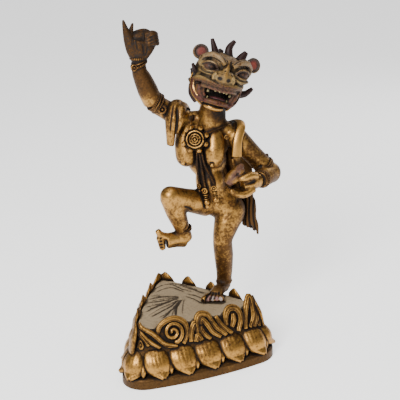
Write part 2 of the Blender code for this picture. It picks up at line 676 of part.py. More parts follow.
def head_ball(shapes, place, radii, turn=(0, 0, 0), cut=14):
    rotation = Euler([math.radians(t) for t in turn]).to_matrix().to_4x4()
    here = head_frame() @ Matrix.Translation([share(p) for p in place]) @ rotation
    scaled = here @ Matrix.Diagonal((*[share(r) for r in radii], 1))
    bmesh.ops.create_uvsphere(shapes.bm, u_segments=cut, v_segments=cut // 2 + 1, radius=1, matrix=scaled)


def head_tube(shapes, stations, **options):
    frame = head_frame()
    shapes.tube([(frame @ Vector([share(p) for p in place]), share(r)) for place, r in stations], **options)


def mouth_across(across, side):
    """The mouth is pulled towards the figure's right, and is wider on that side."""
    return across * side * (1.0 if side < 0 else 0.82) - 0.4


def ear_across(side):
    return -8.3 if side < 0 else 10.0


def head(shapes):
    """Skull, brows, eyes, muzzle, jaws and ears of the lion's face."""
    head_ball(shapes, (0, 1.0, 1.8), (8.9, 8.2, 6.8), cut=20)
    head_ball(shapes, (-0.2, -2.8, -1.4), (8.1, 6.0, 4.2), cut=20)
    head_ball(shapes, (-0.5, -7.0, 0.2), (4.6, 4.6, 2.7))
    head_ball(shapes, (NOSE_ASIDE, -10.2, 0.1), (3.4, 2.1, 1.8))
    bridge = [((-0.1, -6.4, 5.6), 1.4), ((-0.5, -8.0, 3.0), 1.3), ((NOSE_ASIDE, -10.0, 0.9), 1.3)]
    head_tube(shapes, bridge, sides=10)
    head_ball(shapes, (-1.0, -4.2, -8.6), (4.2, 4.4, 2.0), (14, 0, 0))
    head_ball(shapes, (-0.4, 0.6, -4.4), (7.2, 5.4, 5.6), cut=18)
    for side in (-1, 1):
        head_ball(shapes, (5.4 * side, -5.3, 3.0), (2.6, 2.2, 1.9))
        brow = [(1.2, -8.0, 4.0, 0.9), (4.6, -7.2, 6.0, 1.2), (8.2, -4.0, 4.2, 0.8)]
        pouch = [(2.2, -7.9, 1.2, 0.8), (5.4, -7.0, 0.6, 0.9), (8.2, -4.0, 2.0, 0.7)]
        for line in (brow, pouch):
            head_tube(shapes, [((x * side, y, z), r) for x, y, z, r in line], sides=8)
        lip = [
            (0, -10.4, -2.5, 1.0), (3.4, -9.5, -2.2, 1.2), (6.0, -7.3, -2.1, 1.3), (7.9, -4.8, -2.7, 1.1),
            (7.9, -3.8, -5.0, 1.2), (6.4, -5.0, -7.2, 1.1), (3.6, -7.2, -8.1, 0.9), (0, -8.4, -8.3, 0.9),
        ]
        head_tube(shapes, [((mouth_across(x, side), y, z), r) for x, y, z, r in lip], sides=8)
        gum = [(6.5, -5.3, -3.2, 1.5), (6.2, -5.2, -5.2, 1.7), (5.0, -5.6, -7.0, 1.4)]
        head_tube(shapes, [((mouth_across(x, side), y, z), r) for x, y, z, r in gum], sides=8)
        head_ball(shapes, (mouth_across(6.6, side), -1.4, -3.8), (1.9, 4.2, 4.4))
        head_ball(shapes, (ear_across(side), 1.1, 7.0), (2.6, 1.3, 2.4), (0, 30 * side, 14 * side))


def face_cutter(collection):
    """The hollows of the open mouth, the nostrils and the ears."""
    shapes = Shapes()
    head_ball(shapes, (-0.4, -9.2, -5.6), (4.1, 5.2, 1.7), (-4, 0, 0), cut=18)
    for side in (-1, 1):
        head_ball(shapes, (NOSE_ASIDE + 1.75 * side, -12.4, 0.0), (0.75, 1.3, 0.75), cut=10)
        head_ball(shapes, (ear_across(side), -0.3, 7.1), (1.7, 0.9, 1.6), (0, 30 * side, 14 * side), cut=10)
    cutter = shapes.finish("face_cutter", collection)
    cutter.hide_render = True
    cutter.display_type = "WIRE"
    return cutter


def hair_locks(shapes):
    """The tufts of hair that stand like flames round the face, and plainer ones behind."""
    locks = [
        ((-3.2, 0.2, 7.2), (-4.6, 0, 9.6), (-6.0, 0, 12.1), 1.4),
        ((0.9, -0.4, 7.8), (0.5, -0.2, 10.6), (1.8, 0, 13.3), 1.6),
        ((5.1, -0.2, 7.2), (5.7, 0, 8.8), (6.6, 0, 10.7), 1.9),
        ((-7.2, -0.4, -0.4), (-8.9, -0.6, 0.5), (-10.4, -0.8, 2.6), 1.2),
        ((-7.5, -1.0, -5.4), (-8.8, -1.0, -3.8), (-10.4, -1.0, -2.4), 1.2),
        ((7.2, -1.0, -3.6), (9.6, -1.0, -2.8), (11.6, -1.0, -0.4), 1.5),
        ((0, 6.4, 5.0), (-0.6, 8.6, 7.4), (0.4, 9.4, 9.6), 2.0),
        ((-4.6, 6.2, 3.6), (-6.6, 8.4, 6.0), (-7.0, 9.2, 9.0), 1.8),
        ((4.6, 6.2, 3.6), (6.6, 8.4, 6.0), (7.2, 9.2, 8.6), 1.8),
        ((-4.0, 7.0, -2.6), (-6.4, 8.8, -1.6), (-8.2, 9.4, 1.0), 1.7),
        ((4.0, 7.0, -2.6), (6.4, 8.8, -1.6), (8.2, 9.4, 1.0), 1.7),
    ]
    for root, middle, tip, radius in locks:
        head_tube(shapes, [(root, radius), (middle, radius * 0.75), (tip, radius * 0.4)], sides=8)
    for side in (-1, 1):
        whisker = [((mouth_across(8.4, side), -0.6, -4.0), 1.1), ((mouth_across(7.8, side), -1.0, -7.0), 1.1)]
        whisker.append(((mouth_across(5.8, side), -2.0, -9.4), 0.8))
        head_tube(shapes, whisker, sides=8)
    head_ball(shapes, (0, 5.0, -0.6), (7.4, 4.6, 7.8), cut=16)


def bead(shapes, place, radius):
    lump(shapes, place, (radius, radius, radius), cut=8)


def necklace(shapes):
    """A cord round the neck, the petalled boss on the breast and its three hanging strings."""
    centre = Vector(POSE["rosette"])
    facing = Euler((math.radians(76), 0, math.radians(-24))).to_matrix()
    for radius, depth, proud in ((3.0, 3.6, -0.6), (2.1, 1.2, 1.3), (1.0, 1.2, 1.9)):
        here = spot(tuple(centre + facing @ Vector((0, 0, proud))))
        place = Matrix.Translation(here) @ facing.to_4x4()
        size = share(radius)
        bmesh.ops.create_cone(
            shapes.bm, segments=20, radius1=size, radius2=size * 0.9, depth=share(depth), cap_ends=True,
            matrix=place,
        )
    for k in range(8):
        angle = 2 * math.pi * (k + 0.4) / 8
        out = facing @ Vector((3.7 * math.cos(angle), 3.7 * math.sin(angle), 0.1))
        bead(shapes, tuple(centre + out), 1.15)
    limb(shapes, [((-5.6, 2.2, 65.6), 0.5), ((-7.4, 0.0, 64.2), 0.5), ((-8.0, -1.4, 61.6), 0.5)], sides=8)
    limb(shapes, [((-4.2, -4.0, 59.6), 0.7), ((0.4, -3.6, 61.0), 0.7), ((4.6, -2.4, 61.4), 0.7)], sides=8)
    strings = [
        [(-1.0, 55.0, 5.9), (-1.8, 49.5, 5.6), (-2.4, 45.0, 4.8), (-2.6, 41.4, 4.6)],
        [(-0.3, 55.0, 6.0), (-0.4, 48.5, 5.7), (-0.4, 43.5, 5.2), (-0.4, 38.6, 5.2), (-0.3, 35.4, 5.4)],
        [(0.4, 55.0, 6.0), (0.9, 49.0, 5.7), (2.4, 44.5, 5.0), (3.2, 40.2, 5.0), (3.6, 36.8, 5.4)],
    ]
    for stops in strings:
        limb(shapes, [(chest_point(*stop), 0.75) for stop in stops], sides=8)
    for across, level, forwards in ((-0.4, 40.2, 5.4), (3.1, 41.4, 5.2)):
        lump(shapes, chest_point(across, level, forwards), (1.1, 0.9, 1.2), cut=8)
        lump(shapes, chest_point(across, level - 3.4, forwards + 0.1), (1.0, 0.9, 2.0), cut=8)
    bead(shapes, chest_point(-2.7, 41.8, 4.9), 1.1)


def bead_ring(shapes, place, ahead, radius, thick):
    """A bracelet round the limb at a place, its axis along ahead."""
    ahead = Vector(ahead).normalized()
    side = ahead.orthogonal().normalized()
    other = ahead.cross(side)
    loop = []
    for k in range(17):
        angle = 2 * math.pi * k / 16
        offset = (side * math.cos(angle) + other * math.sin(angle)) * share(radius)
        loop.append((spot(place) + offset, share(thick)))
    shapes.tube(loop, sides=6, steps=1)


def jewels(shapes):
    """Bracelets, armlets and anklets with their bosses."""
    forearm = Vector(POSE["wrist_low"]) - Vector(POSE["elbow_r"])
    bead_ring(shapes, (-22.7, 4.4, 84.9), forearm, 2.6, 0.65)
    bead_ring(shapes, (-22.8, 4.4, 87.0), (0, 0, 1), 2.5, 0.75)
    bead_ring(shapes, (-17.0, 6.2, 70.6), (-0.8, 0, 0.55), 3.3, 0.6)
    bead_ring(shapes, (-17.8, 6.2, 71.4), (-0.8, 0, 0.55), 3.3, 0.5)
    upper = Vector(POSE["elbow_l"]) - Vector(POSE["shoulder_l"])
    bead_ring(shapes, between("shoulder_l", "elbow_l", 0.8), upper, 3.5, 0.65)
    bead_ring(shapes, between("wrist_l", "elbow_l", 0.12), (0.7, 0.65, 0), 2.7, 0.65)
    bead_ring(shapes, (-13.1, -1.0, 26.9), (0.1, 0.1, -1), 2.7, 0.5)
    for place, radius in (
        ((-17.0, 2.6, 69.4), 1.3), ((18.2, -3.6, 47.6), 1.0), ((17.8, -8.0, 43.0), 1.0),
        ((-13.6, -3.4, 28.4), 1.2), ((-24.9, 3.2, 84.2), 1.0),
    ):
        bead(shapes, place, radius)


def hide_cape(shapes):
    """The hide worn as a cape: over both shoulders, down the back, with its paw hanging at the hip."""
    rows = []
    for i in range(11):
        t = i / 10
        level = 64.5 - 40.0 * t
        half = 8.8 - 1.2 * math.sin(math.pi * t) + 0.8 * t
        axis = Vector(between("hip_l", "chest", min(1.0, (level - 30.6) / 23.4)))
        row = []
        for j in range(9):
            v = j / 4 - 1
            back = 6.4 - 2.4 * v * v + 0.5 * math.cos(4 * math.pi * v) * t
            back -= 1.2 * math.sin(math.pi * min(1, 1.3 * t))
            spread = half * v * (1.2 - 0.45 * t if v > 0 else 1)
            place = axis + turned(spread, -back, TORSO_TURN_DEG + 22 * t)
            drop = 3.0 * t * v * v + 1.4 * v * t + 5.0 * max(0.0, v) * (1 - t) ** 3
            row.append(spot((place.x, place.y, level - drop)))
        rows.append(row)
    shapes.plate(rows, share(1.2))
    strap = [((9.0, 4.4, 60.4), 1.5), ((10.0, -0.4, 61.6), 1.5), ((9.0, -4.6, 60.6), 1.5)]
    strap += [((6.7, -6.6, 56.6), 1.5), ((5.7, -7.2, 51.4), 1.6)]
    limb(shapes, strap, flat=0.45, flat_axis=(0, 1, 0.5))
    limb(shapes, [((5.8, -6.2, 52.0), 1.3), ((7.0, -6.6, 47.0), 1.2), ((8.4, -6.2, 43.6), 1.1)], sides=8)
    lump(shapes, (8.6, -1.2, 59.2), (2.6, 3.6, 2.2), (0, 30, -30))
    behind = [((9.2, 2.8, 56.0), 2.0), ((10.9, 2.4, 50.5), 3.0)]
    behind += [((12.0, 2.2, 45.6), 3.2), ((12.4, 1.4, 41.0), 2.4)]
    limb(shapes, behind, flat=0.5, flat_axis=(0.3, 1, 0))
    fold = [((11.6, 1.8, 44.0), 1.6), ((12.2, 0.4, 37.0), 1.8), ((12.8, -0.9, 31.0), 2.0)]
    fold += [((12.0, -1.2, 26.0), 2.4), ((10.0, -0.8, 23.4), 1.3)]
    limb(shapes, fold, flat=0.6, flat_axis=(0.3, 1, 0))
    limb(shapes, [((13.2, -1.4, 26.4), 1.2), ((14.0, -1.6, 23.0), 1.2), ((14.9, -1.8, 19.6), 0.4)], sides=8)
    over = [((-6.6, 9.4, 64.8), 2.0), ((-9.6, 6.4, 69.0), 2.3), ((-12.0, 3.4, 69.0), 2.3)]
    over += [((-13.6, 1.8, 65.6), 2.5), ((-14.2, 1.6, 61.4), 2.0), ((-14.4, 2.4, 56.2), 1.4)]
    limb(shapes, over, flat=0.7, flat_axis=(0.6, 1, 0))
    inner = [((-5.8, 8.6, 65.6), 1.8), ((-8.2, 5.6, 68.4), 2.0), ((-10.4, 2.0, 67.8), 2.2)]
    inner += [((-11.6, 0.8, 64.4), 2.0), ((-12.6, 1.4, 60.6), 1.3)]
    limb(shapes, inner, flat=0.7, flat_axis=(0.6, 1, 0))


def build_figure(collection, cutters, finish):
    shapes = Shapes()
    torso(shapes)
    legs(shapes)
    standing_foot(shapes)
    raised_toes(shapes)
    arms(shapes)
    raised_hand(shapes)
    cup_hand(shapes)
    head(shapes)
    hair_locks(shapes)
    necklace(shapes)
    jewels(shapes)
    hide_cape(shapes)
    figure = shapes.finish("simhamukha_figure", collection)
    fuse(figure, FIGURE_VOXEL, 3)
    cut = figure.modifiers.new("mouth, nostrils and ears", "BOOLEAN")
    cut.operation = "DIFFERENCE"
    cut.solver = "EXACT"
    cut.object = face_cutter(cutters)
    apply_modifiers(figure)
    largest_body(figure)
    lighten(figure, FIGURE_TRIANGLES)
    cut_flat(figure, BASE_HEIGHT + SEAT_GAP)
    figure.data.materials.append(finish)
    return figure


def main():
    clear_scene()
    parts = new_collection("simhamukha_statue")
    cutters = new_collection("cutters")
    build_base(parts, cutters, material("gilt lotus base", BASE_COLOUR, 0.45, 0.8))
    build_figure(parts, cutters, material("gilt bronze", GILT_COLOUR, 0.4, 0.85))


main()
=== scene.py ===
"""The looks of a gilt bronze dakini that dances on a three-cornered lotus base.

The forms are the solids' own forms, made again finer, and then carved and painted in code. Metres, +Z up.
"""

import itertools
import math

import bmesh
import bpy
import numpy as np
from mathutils import Euler, Matrix, Vector


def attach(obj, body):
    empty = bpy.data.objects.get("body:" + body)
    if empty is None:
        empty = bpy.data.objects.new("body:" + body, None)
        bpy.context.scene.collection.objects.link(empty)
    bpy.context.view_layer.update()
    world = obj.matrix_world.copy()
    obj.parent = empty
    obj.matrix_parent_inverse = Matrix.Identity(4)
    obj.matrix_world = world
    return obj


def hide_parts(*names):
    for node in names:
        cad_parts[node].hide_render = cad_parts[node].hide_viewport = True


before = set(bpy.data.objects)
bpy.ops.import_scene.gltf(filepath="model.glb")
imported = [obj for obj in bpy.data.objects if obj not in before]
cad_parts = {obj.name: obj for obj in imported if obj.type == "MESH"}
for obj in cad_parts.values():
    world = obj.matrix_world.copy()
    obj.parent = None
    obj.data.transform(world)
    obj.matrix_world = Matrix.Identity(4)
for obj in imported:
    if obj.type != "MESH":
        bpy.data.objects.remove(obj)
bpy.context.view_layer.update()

MM = 0.001

# Sizes of the figure and the base, as in the solids.
FIGURE_HEIGHT = 259 * MM
STAND_X = 40 * MM
STAND_Y = 10 * MM
SEAT_GAP = 0.3 * MM
BASE_HEIGHT = 50 * MM
BASE_CORNER_REACH = 79 * MM
BASE_CORNER_ROUND = 21 * MM
BASE_SIDE_BULGE_DEG = 19
PLINTH_HEIGHT = 9 * MM
PLINTH_EDGE_ROUND = 1.5 * MM
PETAL_TOP_LEVEL = 31 * MM
PETAL_TIP_LEVEL = 9.5 * MM
PETAL_TIP_REACH = 3.5 * MM
PETAL_BELLY = 3.0 * MM
PETAL_THICKNESS = 3.4 * MM
PETAL_CROWN = 4.6 * MM
PETAL_LEAN = 0.03
PETAL_STEPS = 30
PETAL_STEPS_ACROSS = 36
LOWER_PETALS_PER_SIDE = 6
UPPER_PETALS_PER_SIDE = 5
UPPER_PETAL_RISE = 8 * MM
UPPER_PETAL_HALF_WIDTH = 10 * MM
TOP_INSET = 17.5 * MM
PETAL_CORE_INSET = 8.5 * MM
FRIEZE_INSET = 10.5 * MM
FRIEZE_TILT = 0.35
SCROLL_RADIUS = 2.2 * MM
SCROLL_FLAT = 0.66
TOP_FOLDS = 9

# How fine each piece is remeshed.
BODY_VOXEL = 0.75 * MM
HAND_VOXEL = 0.5 * MM
HEAD_VOXEL = 0.45 * MM
BASE_VOXEL = 0.8 * MM
CAPE_VOXEL = 0.65 * MM

# A loose shell of fewer vertices than this is a bubble.
BUBBLE_VERTICES = 300

# How steeply paint ends at the edge of a brush stroke: 1 fades over its whole width.
EDGE_HARDNESS = 2.4
# A groove reaches this many times its width to both sides.
GROOVE_REACH = 2.2

# How closed in a place is: it is measured on a grid of this cell, this many cells off the skin,
# and counts from the least share of filled space to the most.
HOLLOW_CELL = 0.8 * MM
HOLLOW_AHEAD = 2.3
HOLLOW_LEAST = 0.13
HOLLOW_RANGE = 0.30
# One sample of the skin stands for this share of a cell's face.
HOLLOW_SAMPLES = 0.12


# Materials


def linear(colour):
    """An sRGB hex colour as linear RGBA."""
    channels = [int(colour[k : k + 2], 16) / 255 for k in (1, 3, 5)]
    return (*[c / 12.92 if c < 0.04045 else ((c + 0.055) / 1.055) ** 2.4 for c in channels], 1.0)


def add(tree, kind, links=(), **settings):
    """Adds a node with its settings, and links or sets its inputs from (input, value) pairs."""
    node = tree.nodes.new("ShaderNode" + kind)
    for name, value in settings.items():
        setattr(node, name, value)
    for socket, value in links:
        if isinstance(value, bpy.types.NodeSocket):
            tree.links.new(value, node.inputs[socket])
        else:
            node.inputs[socket].default_value = value
    return node


def gilt_bronze(name, gold, bronze, dirt):
    """Fire-gilt cast bronze. Worn gold on what is touched, brown patina below it, dark dirt in the hollows,
    where painted shade is laid as well.

    The eye sees warm gold highlights broken by brown patches 3 to 12 mm wide, fine pits of about 0.6 mm,
    and near-black lines round everything that stands out, as dirt and as painted shade. Attributes of the
    piece add to it:
    hollow is how closed in a place is, and darkens it as dirt and as painted shade; ink is carved dirt, and
    on the figure also painted shade; worn is how much gold is gone or, below 0, left, and on the figure also
    painted shade away from the light; cover and paint are old cold paint. The dirt colour is laid both as
    dirt and as painted shade.
    """
    material = bpy.data.materials.new(name)
    material.use_nodes = True
    tree = material.node_tree
    shader = tree.nodes["Principled BSDF"]
    place = add(tree, "TexCoord").outputs["Object"]
    values = {}
    for grain, size, detail, roughness in (
        ("patches", 10 * MM, 3.0, 0.5), ("mottle", 2 * MM, 5.0, 0.6), ("pits", 0.6 * MM, 3.0, 0.5),
    ):
        links = [("Vector", place), ("Scale", 1 / size), ("Detail", detail), ("Roughness", roughness)]
        values[grain] = add(tree, "TexNoise", links).outputs["Fac"]
    for mark in ("hollow", "ink", "worn", "cover"):
        values[mark] = add(tree, "Attribute", attribute_name=mark).outputs["Fac"]

    # Each of these is a sum of values times factors. Its range from low to high becomes least to most.
    # The gold share falls in the hollows and where worn holds painted shade; the dark shares below rise in
    # the hollows, as dirt and as painted shade.
    rubbed_and_unshaded = {"patches": 1.0, "mottle": 1.5, "hollow": -1.1, "worn": -1.0, "ink": -0.8}
    grime_and_shade = {"hollow": 1.0, "ink": 1.25, "mottle": 1.2, "pits": 0.25}
    for made, terms, low, high, least, most in (
        ("gold", rubbed_and_unshaded, 0.84, 1.54, 0.0, 1.0),
        ("pitted", {"pits": 1.0}, 0.55, 0.75, 0.0, 0.35),
        ("grimy_and_shaded", grime_and_shade, 0.78, 1.5, 0.0, 1.0),
        ("dusty_and_shaded", grime_and_shade, 0.62, 1.4, 0.0, 0.9),
        ("painted", {"cover": 1.2, "mottle": 1.1, "ink": 0.2, "patches": 0.4}, 1.02, 1.5, 0.0, 1.0),
        ("metallic", {"grimy_and_shaded": -0.55, "painted": -0.9}, -0.9, 0.0, 0.08, 0.95),
        ("rough", {"gold": -0.22, "grimy_and_shaded": 0.25, "painted": 0.12, "mottle": 0.18}, -0.2, 0.5, 0.38, 0.72),
    ):
        total = 0.0
        for term, factor in terms.items():
            links = [(0, values[term]), (1, factor), (2, total)]
            total = add(tree, "Math", links, operation="MULTIPLY_ADD").outputs[0]
        links = [("Value", total), ("From Min", low), ("From Max", high), ("To Min", least), ("To Max", most)]
        values[made] = add(tree, "MapRange", links, interpolation_type="SMOOTHSTEP").outputs["Result"]

    # Each layer covers the one before it by a share of the above.
    paint = add(tree, "Attribute", attribute_name="paint").outputs["Color"]
    colours = {"gold": linear(gold), "bronze": linear(bronze), "dirt": linear(dirt), "paint": paint}
    for made, under, over, share_over in (
        ("dusty paint", "paint", "dirt", "dusty_and_shaded"),
        ("metal", "bronze", "gold", "gold"),
        ("metal", "metal", "dirt", "pitted"),
        ("metal", "metal", "dirt", "grimy_and_shaded"),
        ("surface", "metal", "dusty paint", "painted"),
    ):
        links = [("Factor", values[share_over]), ("A", colours[under]), ("B", colours[over])]
        colours[made] = add(tree, "Mix", links, data_type="RGBA").outputs["Result"]

    both = add(tree, "Math", [(0, values["pits"]), (1, values["mottle"])], operation="ADD").outputs[0]
    relief = add(tree, "Math", [(0, both), (1, 0.5)], operation="MULTIPLY").outputs[0]
    bump = add(tree, "Bump", [("Height", relief), ("Strength", 0.5), ("Distance", 0.3 * MM)])
    for socket, source in (
        ("Base Color", colours["surface"]),
        ("Metallic", values["metallic"]),
        ("Roughness", values["rough"]),
        ("Normal", bump.outputs["Normal"]),
    ):
        tree.links.new(source, shader.inputs[socket])
    shader.inputs["Specular IOR Level"].default_value = 0.25
    return material


# Shapes


class Shapes:
    """Closed shapes gathered in one bmesh, which a voxel remesh then fuses into one casting."""

    def __init__(self):
        self.bm = bmesh.new()

    def ball(self, centre, radii, turn=(0, 0, 0), cut=20):
        """An ellipsoid with its three radii, turned by degrees about X, Y and Z."""
        rotation = Euler([math.radians(t) for t in turn]).to_matrix().to_4x4()
        place = Matrix.Translation(centre) @ rotation @ Matrix.Diagonal((*radii, 1))
        bmesh.ops.create_uvsphere(self.bm, u_segments=cut, v_segments=cut // 2 + 1, radius=1, matrix=place)

    def tube(self, stations, sides=22, steps=8, flat=1.0, flat_axis=None):
        """A round-ended tube through (point, radius) stations. flat squeezes its section along flat_axis."""
        path = smooth_path(stations, steps)
        rings = []
        count = len(path)
        side = None
        for k, (point, radius) in enumerate(path):
            ahead = path[min(k + 1, count - 1)][0] - path[max(k - 1, 0)][0]
            ahead.normalize()
            if side is None:
                side = Vector(flat_axis) if flat_axis else ahead.orthogonal()
            side = (side - ahead * side.dot(ahead)).normalized()
            other = ahead.cross(side)
            ring = []
            for s in range(sides):
                angle = 2 * math.pi * s / sides
                offset = side * (math.cos(angle) * radius * flat) + other * (math.sin(angle) * radius)
                ring.append(self.bm.verts.new(point + offset))
            rings.append(ring)
        for low, high in zip(rings, rings[1:]):
            for s in range(sides):
                t = (s + 1) % sides
                self.bm.faces.new((low[s], low[t], high[t], high[s]))
        self.bm.faces.new(list(reversed(rings[0])))
        self.bm.faces.new(rings[-1])

    def plate(self, rows, thickness):
        """A sheet through rows of points, given a wall by offsetting it along its own normals."""
        front, back = [], []
        for i, row in enumerate(rows):
            front_row, back_row = [], []
            for j, point in enumerate(row):
                up = rows[min(i + 1, len(rows) - 1)][j] - rows[max(i - 1, 0)][j]
                across = row[min(j + 1, len(row) - 1)] - row[max(j - 1, 0)]
                normal = up.cross(across).normalized() * (thickness / 2)
                front_row.append(self.bm.verts.new(point + normal))
                back_row.append(self.bm.verts.new(point - normal))
            front.append(front_row)
            back.append(back_row)
        last_row, last_column = len(rows) - 1, len(rows[0]) - 1
        for i in range(last_row):
            for j in range(last_column):
                a, b = front[i][j], front[i][j + 1]
                c, d = front[i + 1][j + 1], front[i + 1][j]
                self.bm.faces.new((a, b, c, d))
                a, b = back[i][j], back[i][j + 1]
                c, d = back[i + 1][j + 1], back[i + 1][j]
                self.bm.faces.new((d, c, b, a))
        rim = [(0, j) for j in range(last_column)]
        rim += [(i, last_column) for i in range(last_row)]
        rim += [(last_row, j) for j in range(last_column, 0, -1)]
        rim += [(i, 0) for i in range(last_row, 0, -1)]
        for (i, j), (k, m) in zip(rim, rim[1:] + rim[:1]):
            self.bm.faces.new((front[k][m], front[i][j], back[i][j], back[k][m]))

    def finish(self, name):
        bmesh.ops.recalc_face_normals(self.bm, faces=self.bm.faces)
        mesh = bpy.data.meshes.new(name)
        self.bm.to_mesh(mesh)
        self.bm.free()
        obj = bpy.data.objects.new(name, mesh)
        bpy.context.scene.collection.objects.link(obj)
        return obj


def smooth_path(stations, steps):
    """(point, radius) pairs along a Catmull-Rom curve through the stations."""
    points = [(Vector(p), r) for p, r in stations]
    if len(points) < 3:
        return points
    path = []
    last = len(points) - 1
    for k in range(last):
        p0, _ = points[max(k - 1, 0)]
        p1, r1 = points[k]
        p2, r2 = points[k + 1]
        p3, _ = points[min(k + 2, last)]
        for s in range(steps):
            t = s / steps
            weights = (
                -0.5 * t + t * t - 0.5 * t**3,
                1 - 2.5 * t * t + 1.5 * t**3,
                0.5 * t + 2 * t * t - 1.5 * t**3,
                -0.5 * t * t + 0.5 * t**3,
            )
            point = p0 * weights[0] + p1 * weights[1] + p2 * weights[2] + p3 * weights[3]
            path.append((point, r1 + (r2 - r1) * t))
    path.append(points[-1])
    return path


def cut_flat(obj, level):
    """Cuts off what is below a level and closes the mesh there."""
    bm = bmesh.new()
    bm.from_mesh(obj.data)
    parts = bm.verts[:] + bm.edges[:] + bm.faces[:]
    place, down = (0, 0, level), (0, 0, -1)
    cut = bmesh.ops.bisect_plane(bm, geom=parts, plane_co=place, plane_no=down, clear_outer=True)
    rim = [e for e in cut["geom_cut"] if isinstance(e, bmesh.types.BMEdge)]
    bmesh.ops.holes_fill(bm, edges=rim, sides=0)
    bmesh.ops.triangulate(bm, faces=[f for f in bm.faces if len(f.verts) > 4])
    bm.to_mesh(obj.data)
    bm.free()


def apply_modifiers(obj):
    """Makes what the modifiers show the mesh itself."""
    graph = bpy.context.evaluated_depsgraph_get()
    obj.data = bpy.data.meshes.new_from_object(obj.evaluated_get(graph))
    obj.modifiers.clear()


def fuse(obj, voxel, smoothing):
    """Makes the overlapping shapes one closed skin, softened where they meet."""
    remesh = obj.modifiers.new("one casting", "REMESH")
    remesh.mode = "VOXEL"
    remesh.voxel_size = voxel
    soften = obj.modifiers.new("soften", "SMOOTH")
    soften.factor = 0.5
    soften.iterations = smoothing
    apply_modifiers(obj)
    drop_bubbles(obj)


def drop_bubbles(obj):
    """Deletes the small closed bubbles that the remesh leaves inside."""
    bm = bmesh.new()
    bm.from_mesh(obj.data)
    seen, bubbles = set(), []
    for start in bm.verts:
        if start in seen:
            continue
        seen.add(start)
        shell = [start]
        for vert in shell:
            for edge in vert.link_edges:
                other = edge.other_vert(vert)
                if other not in seen:
                    seen.add(other)
                    shell.append(other)
        if len(shell) < BUBBLE_VERTICES:
            bubbles += shell
    bmesh.ops.delete(bm, geom=bubbles, context="VERTS")
    bm.to_mesh(obj.data)
    bm.free()


def line_distances(points, stops):
    """Each point's distance to a line through the stops, and how far along the line it is, from 0 to 1."""
    nearest = np.full(len(points), 1e9)
    along = np.zeros(len(points))
    stops = np.array(stops, float)
    if len(stops) == 1:
        return np.linalg.norm(points - stops[0], axis=1), along
    count = len(stops) - 1
    for k in range(count):
        start, run = stops[k], stops[k + 1] - stops[k]
        t = np.clip((points - start) @ run / max(run @ run, 1e-12), 0, 1)
        gap = np.linalg.norm(points - start - t[:, None] * run, axis=1)
        closer = gap < nearest
        nearest[closer] = gap[closer]
        along[closer] = (k + t[closer]) / count
    return nearest, along


def vertex_vectors(mesh, name):
    """The vertices' places or normals as rows of three."""
    values = np.empty(len(mesh.vertices) * 3)
    mesh.vertices.foreach_get(name, values)
    return values.reshape(-1, 3)


def write_values(mesh, name, values):
    """Stores one number for each vertex."""
    mesh.attributes.new(name, "FLOAT", "POINT").data.foreach_set("value", values)


def unit(values):
    """Values held between 0 and 1."""
    return np.clip(values, 0, 1)


